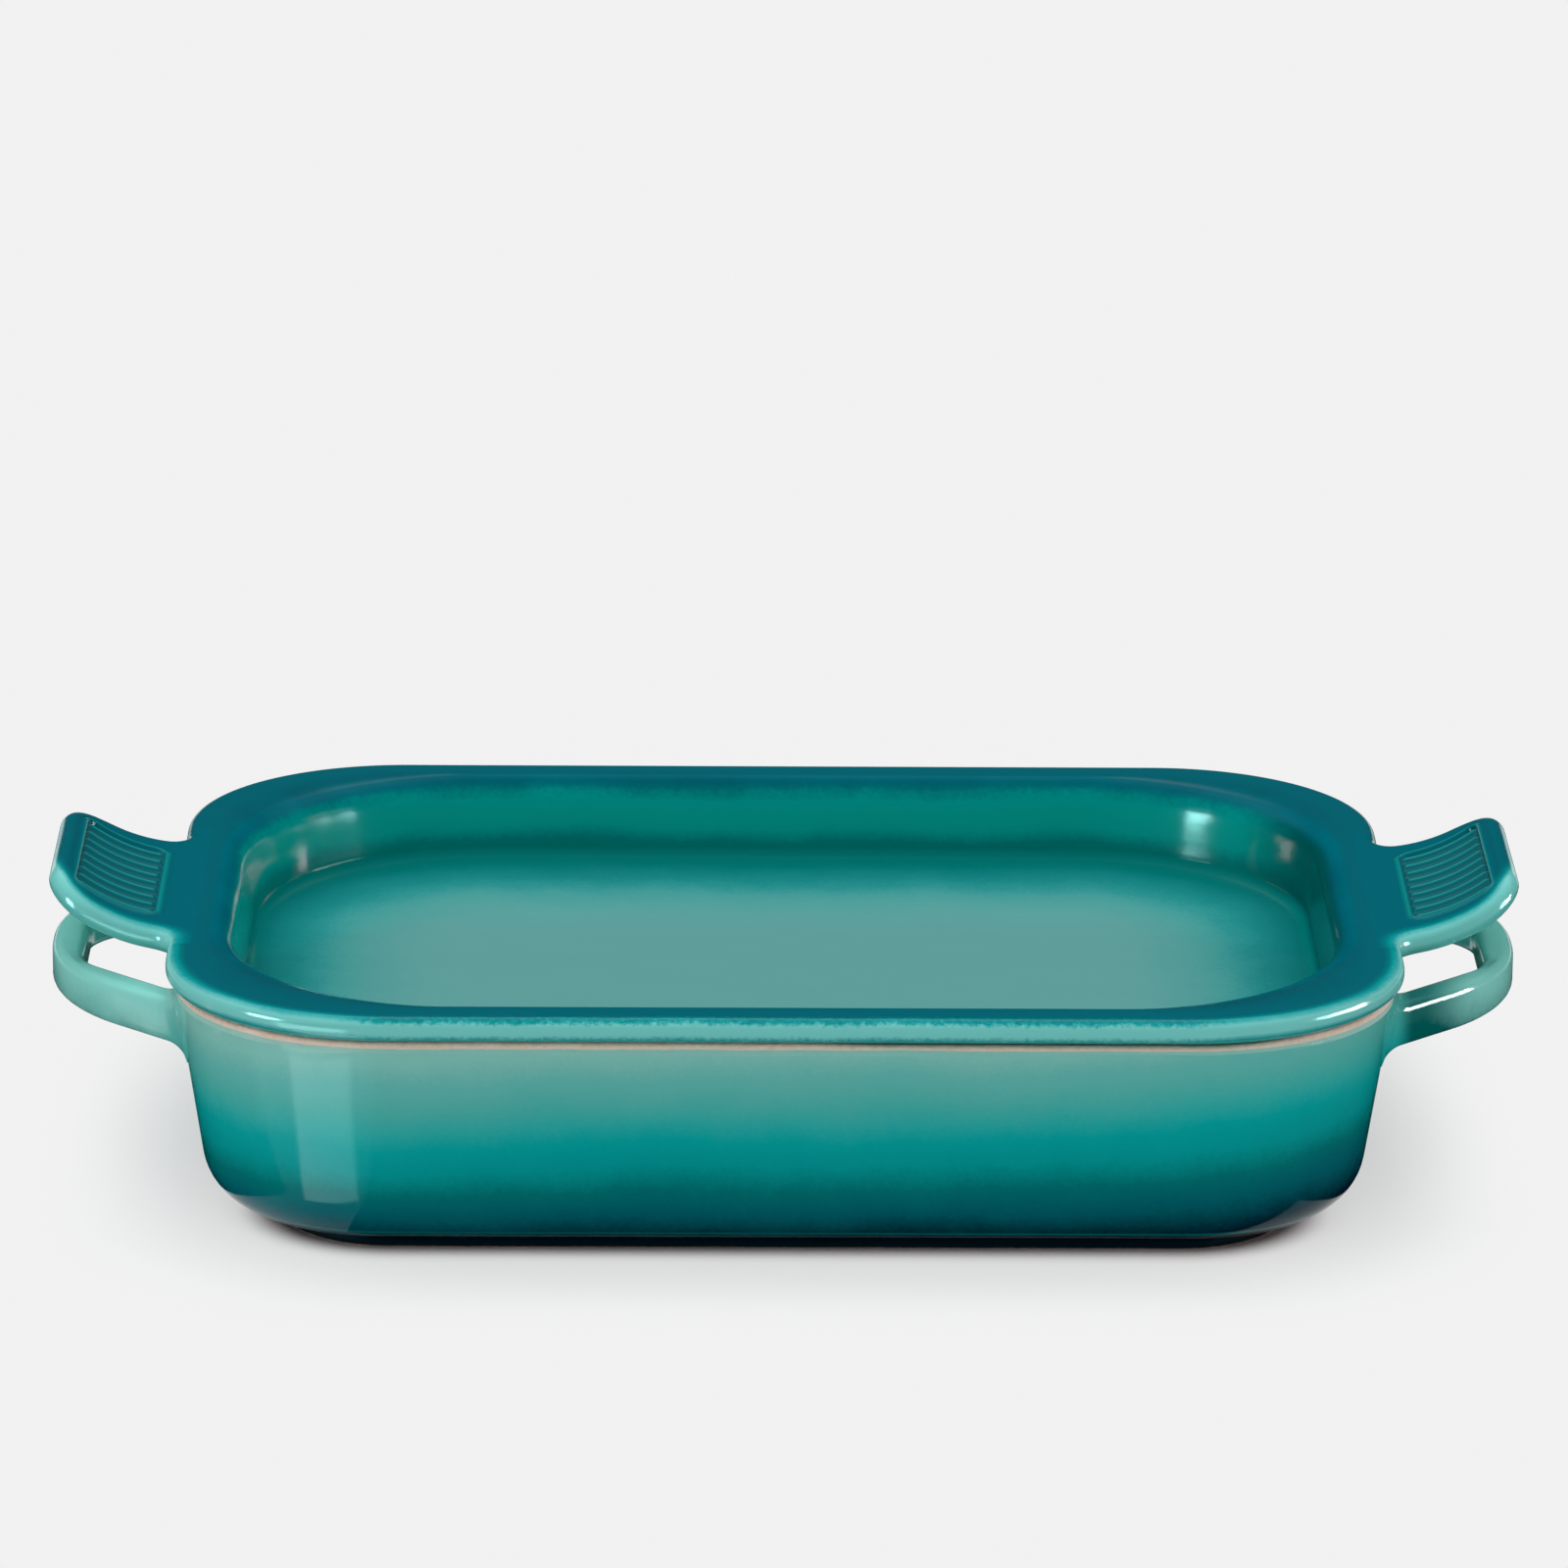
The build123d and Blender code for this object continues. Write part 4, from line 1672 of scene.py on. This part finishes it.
@dataclass
class Platter:
    """The lid's flange and well. The well's mouth is rounder in plan than the flange. In metres."""

    outline: Outline = LID_FLANGE
    edge_round: float = 0.0028
    flat_inset: float = 0.007
    mouth: float = 0.0152
    lip_round: float = 0.006
    wall: float = 0.0054
    lean: float = math.tan(math.radians(10))
    floor: float = 0.0455
    under: float = 0.0395
    inner_round: float = 0.0035
    outer_round: float = 0.008
    middle_inset: float = 0.050
    grip_start: float = 0.1495
    grip_half_width: float = 0.050

    def section(self) -> np.ndarray:
        """The section: outwards under the well and the flange, round the edge, and into the well.

        Returns:
            Rows of inset and height.
        """
        thickness = PLATE_TOP - PLATE_UNDERSIDE
        shoulder = self.mouth - self.wall + thickness * self.lean
        under_foot = shoulder + (PLATE_UNDERSIDE - self.under) * self.lean
        wall_foot = self.mouth + (PLATE_TOP - self.floor) * self.lean
        corners = [(self.middle_inset, self.under), (under_foot, self.under), (shoulder, PLATE_UNDERSIDE),
                   (self.flat_inset, PLATE_UNDERSIDE), (0.0, PLATE_UNDERSIDE), (0.0, PLATE_TOP),
                   (self.flat_inset, PLATE_TOP), (self.mouth, PLATE_TOP), (wall_foot, self.floor),
                   (self.middle_inset, self.floor)]
        radii = (0.0, self.outer_round, 0.0, 0.0, self.edge_round, self.edge_round, 0.0, self.lip_round,
                 self.inner_round, 0.0)
        return rounded_section(corners, radii, 12, 0.0045)

    def shell(self, name: str) -> Shell:
        """The platter as a closed shell, cut away at its ends where the grips take over.

        At an inset i the corner radius is the flange's, corner - i, plus a share of what the well's
        corners are rounder by. The share goes softly from 0 where the flange is flat to 1 at the well.
        The end sides have two columns at each cut, one that runs to the edge and one that stops at the
        grip.

        Args:
            name: the piece's name.

        Returns:
            The shell.
        """
        inset, height = self.section().T
        well = np.where(np.arange(len(inset)) < inset.argmin(), self.mouth - self.wall, self.mouth)
        share = soft_step(np.clip((inset - self.flat_inset) / (well - self.flat_inset), 0.0, 1.0))
        rounder = WELL_MOUTH.corner + self.mouth - self.outline.corner
        corner = self.outline.corner - inset + share * rounder
        straight = self.outline.half_width - self.outline.corner
        cut = (1 - self.grip_half_width / straight) / 2
        kept = np.linspace(cut, 1 - cut, self.outline.side_steps)
        spots, facing = self.outline.spots(np.concatenate([[cut], kept, [1 - cut]]))
        half = np.array([self.outline.half_length, self.outline.half_width])
        centre = half - (inset + corner)[:, None]
        flat = spots[None] * centre[:, None] + corner[:, None, None] * facing[None]
        inner = np.abs(spots[:, 1]) < 1 - 2 * cut + 1e-9
        covered = np.roll(inner, 1) & inner & np.roll(inner, -1)
        at_end = covered & (np.abs(facing[:, 0]) > 0.999)
        flat[:, at_end, 0] = np.clip(flat[:, at_end, 0], -self.grip_start, self.grip_start)
        level = np.broadcast_to(height[:, None, None], (*flat.shape[:2], 1))
        return pooled(name, np.concatenate([flat, level], -1))


@dataclass
class Lid:
    """The upper body: platter, foot ring and two curled grips. Sizes are in metres."""

    effects: Effects
    body: str = "lid"
    foot: Outline = PLATTER_FOOT
    foot_width: float = 0.005
    foot_bottom: float = 0.0377
    foot_top: float = 0.0410
    foot_round: float = 0.0006

    def build(self) -> None:
        """Makes the four members, each in place of its CAD node."""
        glaze = LidGlaze("lid_glaze", roughness=0.12).dress(self.effects)
        clay = BareClay("bare_clay_lid", roughness=0.75, red_kept=1.0, peel=0.6).dress(self.effects)
        grip = GripGlaze("grip_glaze", roughness=0.12).dress(self.effects)
        Platter().shell("well_platter").make(self.body, "lid_glaze", glaze, "lid_platter")
        self.foot_ring().make(self.body, "bare_clay", clay, "lid_foot_ring")
        right = Grip().shell("curled_grip_right")
        right.make(self.body, "grip_glaze", grip, "lid_grip_right")
        mirrored(right, "curled_grip_left").make(self.body, "grip_glaze", grip, "lid_grip_left")

    def foot_ring(self) -> Shell:
        """The ring that the lid stands on as a platter, whose top is sunk in the well's underside.

        Returns:
            The shell.
        """
        section = band_section(self.foot_width, 0.0, self.foot_top, self.foot_bottom, self.foot_round)
        return carried("platter_foot_ring", self.foot, section, Ends.JOINED)


@dataclass(frozen=True)
class Lamp:
    """A softbox that faces the dish and shows only in its gloss.

    Attributes:
        name: the lamp's name.
        azimuth: degrees round from the front, to the right.
        elevation: degrees above the table.
        size: its width and height, in metres.
        power: its power, in watts.
    """

    name: str
    azimuth: float
    elevation: float
    size: tuple[float, float]
    power: float


@dataclass(frozen=True)
class Card:
    """A card on the table that shows only in the gloss above it: a glowing reflector, or a black flag.

    Attributes:
        name: the card's name.
        strength: how brightly it glows, 0 for a flag.
        places: its corners in plan, in metres.
    """

    name: str
    strength: float
    places: tuple[tuple[float, float], ...]


LAMPS = (
    Lamp("left_softbox", -64.0, 10.0, (0.36, 0.42), 50.0),
    Lamp("right_softbox", 84.0, 10.0, (0.70, 0.42), 85.0),
)
CARDS = (
    Card("wall_reflector", 10.0, ((-0.112, -0.120), (-0.134, -0.108), (-0.196, -0.148), (-0.139, -0.189))),
    Card("edge_reflector", 24.0, ((-0.208, -0.150), (-0.38, -0.27), (-0.20, -0.38), (-0.150, -0.200))),
    Card("loop_reflector", 3.0, ((-0.240, -0.056), (-0.250, -0.0425), (-0.60, -0.030), (-0.60, -0.0485))),
    Card("front_flag", 0.0, ((-0.110, -0.094), (-0.110, -0.20), (0.130, -0.20), (0.130, -0.094))),
    Card("left_flag", 0.0, ((-0.145, -0.105), (-0.145, 0.40), (-0.60, 0.40), (-0.60, -0.105))),
    Card("right_flag", 0.0, ((0.130, -0.20), (0.60, -0.20), (0.60, 0.40), (0.145, 0.40), (0.145, -0.094),
                             (0.130, -0.094))),
)


@dataclass
class Studio:
    """The pale table, the soft light and the camera.

    Attributes:
        eye: where the camera stands, in metres.
        pitch, turn, roll: how it looks down, to the right and leans over, in degrees.
        focal_length, sensor: the lens and the sensor's width, in millimetres.
        table_reach: how far the table runs each way, in metres.
        table_grey, table_glow: its own grey, and the grey that it shows to the camera.
        contact_shadow, cast_shadow: the distances from the foot over which each shadow fades.
        shadow_lift: how much of the plain grey the table has between the two shadows.
        sky_heights, sky_light: how steeply up the sky is dark and bright, and its light at both.
        sky_sides: the sky's share of that light at the left and at the right.
        lamp_distance, lamp_warmth: how far off the lamps stand, in metres, and their colour.
        reflector_level, flag_level: the heights of the cards above the table, in metres.
    """

    eye: tuple[float, float, float] = (-0.02361, -2.36698, 0.7989)
    pitch: float = 16.59
    turn: float = 0.57
    roll: float = 0.39
    focal_length: float = 221.0
    sensor: float = 36.0
    table_reach: float = 30.0
    table_grey: float = 0.88
    table_glow: float = 0.885
    contact_shadow: Band = (0.0, 0.012)
    cast_shadow: Band = (0.02, 0.065)
    shadow_lift: float = 0.62
    sky_heights: Band = (0.42, 0.75)
    sky_light: Band = (0.02, 1.9)
    sky_sides: Band = (1.35, 0.68)
    lamp_distance: float = 1.25
    lamp_warmth: tuple[float, float, float] = (1.0, 0.5, 0.48)
    reflector_level: float = 0.001
    flag_level: float = 0.0005

    def build(self) -> None:
        """Makes the camera, the table, the sky, the lamps and the cards."""
        self.camera()
        self.table()
        self.sky()
        for lamp in LAMPS:
            self.light(lamp)
        for card in CARDS:
            self.lay(card)

    def camera(self) -> None:
        """A long lens that looks down on the dish from the front."""
        dip, roll, turn = (math.radians(v) for v in (self.pitch, self.roll, self.turn))
        ahead = Vector((0.0, math.cos(dip), -math.sin(dip)))
        up = Vector((0.0, math.sin(dip), math.cos(dip)))
        right = Vector((1.0, 0.0, 0.0))
        across = right * math.cos(roll) + up * math.sin(roll)
        upward = up * math.cos(roll) - right * math.sin(roll)
        axes = Matrix((across, upward, -ahead)).transposed()
        axes = Matrix.Rotation(-turn, 3, "Z") @ axes
        data = bpy.data.cameras.new("camera")
        data.lens = self.focal_length
        data.sensor_width = self.sensor
        data.clip_end = 100.0
        made = bpy.data.objects.new("camera", data)
        made.matrix_world = Matrix.Translation(self.eye) @ axes.to_4x4()
        bpy.context.scene.collection.objects.link(made)
        bpy.context.scene.camera = made

    def table(self) -> None:
        """A wide pale table, plain to the camera away from the dish, so that the background stays even."""
        reach = self.table_reach
        corners = [(-reach, -reach, 0.0), (reach, -reach, 0.0), (reach, reach, 0.0), (-reach, reach, 0.0)]
        mesh = bpy.data.meshes.new("table")
        mesh.from_pydata(corners, [], [(0, 1, 2, 3)])
        made = bpy.data.objects.new("table", mesh)
        bpy.context.scene.collection.objects.link(made)
        finish = bpy.data.materials.new("table_paper")
        finish.use_nodes = True
        g = Graph(finish.node_tree)
        skin = finish.node_tree.nodes["Principled BSDF"]
        skin.inputs["Roughness"].default_value = 0.9
        skin.inputs["Specular IOR Level"].default_value = 0.0
        skin.inputs["Base Color"].default_value = (self.table_grey,) * 3 + (1.0,)
        glow = g.node("ShaderNodeEmission")
        glow.inputs["Color"].default_value = (self.table_glow,) * 3 + (1.0,)
        off = g.plan_distance(g.point(), *DISH_FOOT.sizes())
        close = g.spread(off, *self.contact_shadow, 0.0, self.shadow_lift)
        far = g.spread(off, *self.cast_shadow, 0.0, 1.0 - self.shadow_lift)
        path = g.node("ShaderNodeLightPath").outputs
        seen = g.sum(Sum.ADD, path["Is Glossy Ray"], path["Is Transmission Ray"])
        seen = g.sum(Sum.ADD, path["Is Camera Ray"], seen, clamp=True)
        blend = g.node("ShaderNodeMixShader")
        g.feed(blend.inputs[0], g.sum(Sum.TIMES, seen, g.sum(Sum.ADD, close, far)))
        g.feed(blend.inputs[1], skin.outputs[0])
        g.feed(blend.inputs[2], glow.outputs[0])
        g.feed(finish.node_tree.nodes["Material Output"].inputs["Surface"], blend.outputs[0])
        mesh.materials.append(finish)

    def sky(self) -> None:
        """Soft light from above, dim near the horizon as in a studio with dark walls."""
        world = bpy.data.worlds.new("studio")
        bpy.context.scene.world = world
        world.use_nodes = True
        world.node_tree.nodes.clear()
        g = Graph(world.node_tree)
        x, _, z = g.split(g.node("ShaderNodeTexCoord").outputs["Generated"])
        glow = g.node("ShaderNodeBackground")
        lean = g.spread(x, -1.0, 1.0, *self.sky_sides, soft=False)
        above = g.spread(z, *self.sky_heights, *self.sky_light)
        g.feed(glow.inputs["Strength"], g.sum(Sum.TIMES, lean, above))
        g.feed(g.node("ShaderNodeOutputWorld").inputs["Surface"], glow.outputs[0])

    def light(self, lamp: Lamp) -> None:
        """Sets up a softbox.

        Args:
            lamp: the softbox.
        """
        data = bpy.data.lights.new(lamp.name, "AREA")
        data.shape = "RECTANGLE"
        data.size, data.size_y = lamp.size
        data.energy = lamp.power
        data.color = self.lamp_warmth
        azimuth, elevation = math.radians(lamp.azimuth), math.radians(lamp.elevation)
        level = math.cos(elevation)
        way = Vector((math.sin(azimuth) * level, -math.cos(azimuth) * level, math.sin(elevation)))
        made = bpy.data.objects.new(lamp.name, data)
        made.location = way * self.lamp_distance
        made.rotation_euler = (-way).to_track_quat("-Z", "Y").to_euler()
        made.visible_diffuse = False
        bpy.context.scene.collection.objects.link(made)

    def lay(self, card: Card) -> None:
        """Lays a card on the table.

        Args:
            card: the card.
        """
        level = self.reflector_level if card.strength else self.flag_level
        mesh = bpy.data.meshes.new(card.name)
        mesh.from_pydata([(x, y, level) for x, y in card.places], [], [tuple(range(len(card.places)))])
        finish = bpy.data.materials.new(card.name)
        finish.use_nodes = True
        finish.node_tree.nodes.clear()
        g = Graph(finish.node_tree)
        glow = g.node("ShaderNodeEmission")
        glow.inputs["Color"].default_value = (*self.lamp_warmth, 1.0)
        glow.inputs["Strength"].default_value = card.strength
        g.feed(g.node("ShaderNodeOutputMaterial").inputs["Surface"], glow.outputs[0])
        mesh.materials.append(finish)
        made = bpy.data.objects.new(card.name, mesh)
        bpy.context.scene.collection.objects.link(made)
        for kind in ("camera", "diffuse", "transmission", "volume_scatter", "shadow"):
            setattr(made, "visible_" + kind, False)


def corners(box: tuple[Vector, Vector]) -> list[list[float]]:
    """A box's lowest and highest corners as plain lists.

    Args:
        box: the box's two corners.

    Returns:
        The same corners as lists.
    """
    return [list(box[0]), list(box[1])]


def main() -> None:
    """Builds the dish, the lid and the studio."""
    logging.basicConfig(level=logging.INFO, format="%(message)s")
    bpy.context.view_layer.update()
    bpy.context.scene.view_settings.view_transform = "Standard"
    effects = Effects()
    Dish(effects).build()
    Lid(effects).build()
    Studio().build()


if __name__ == "__main__":
    main()
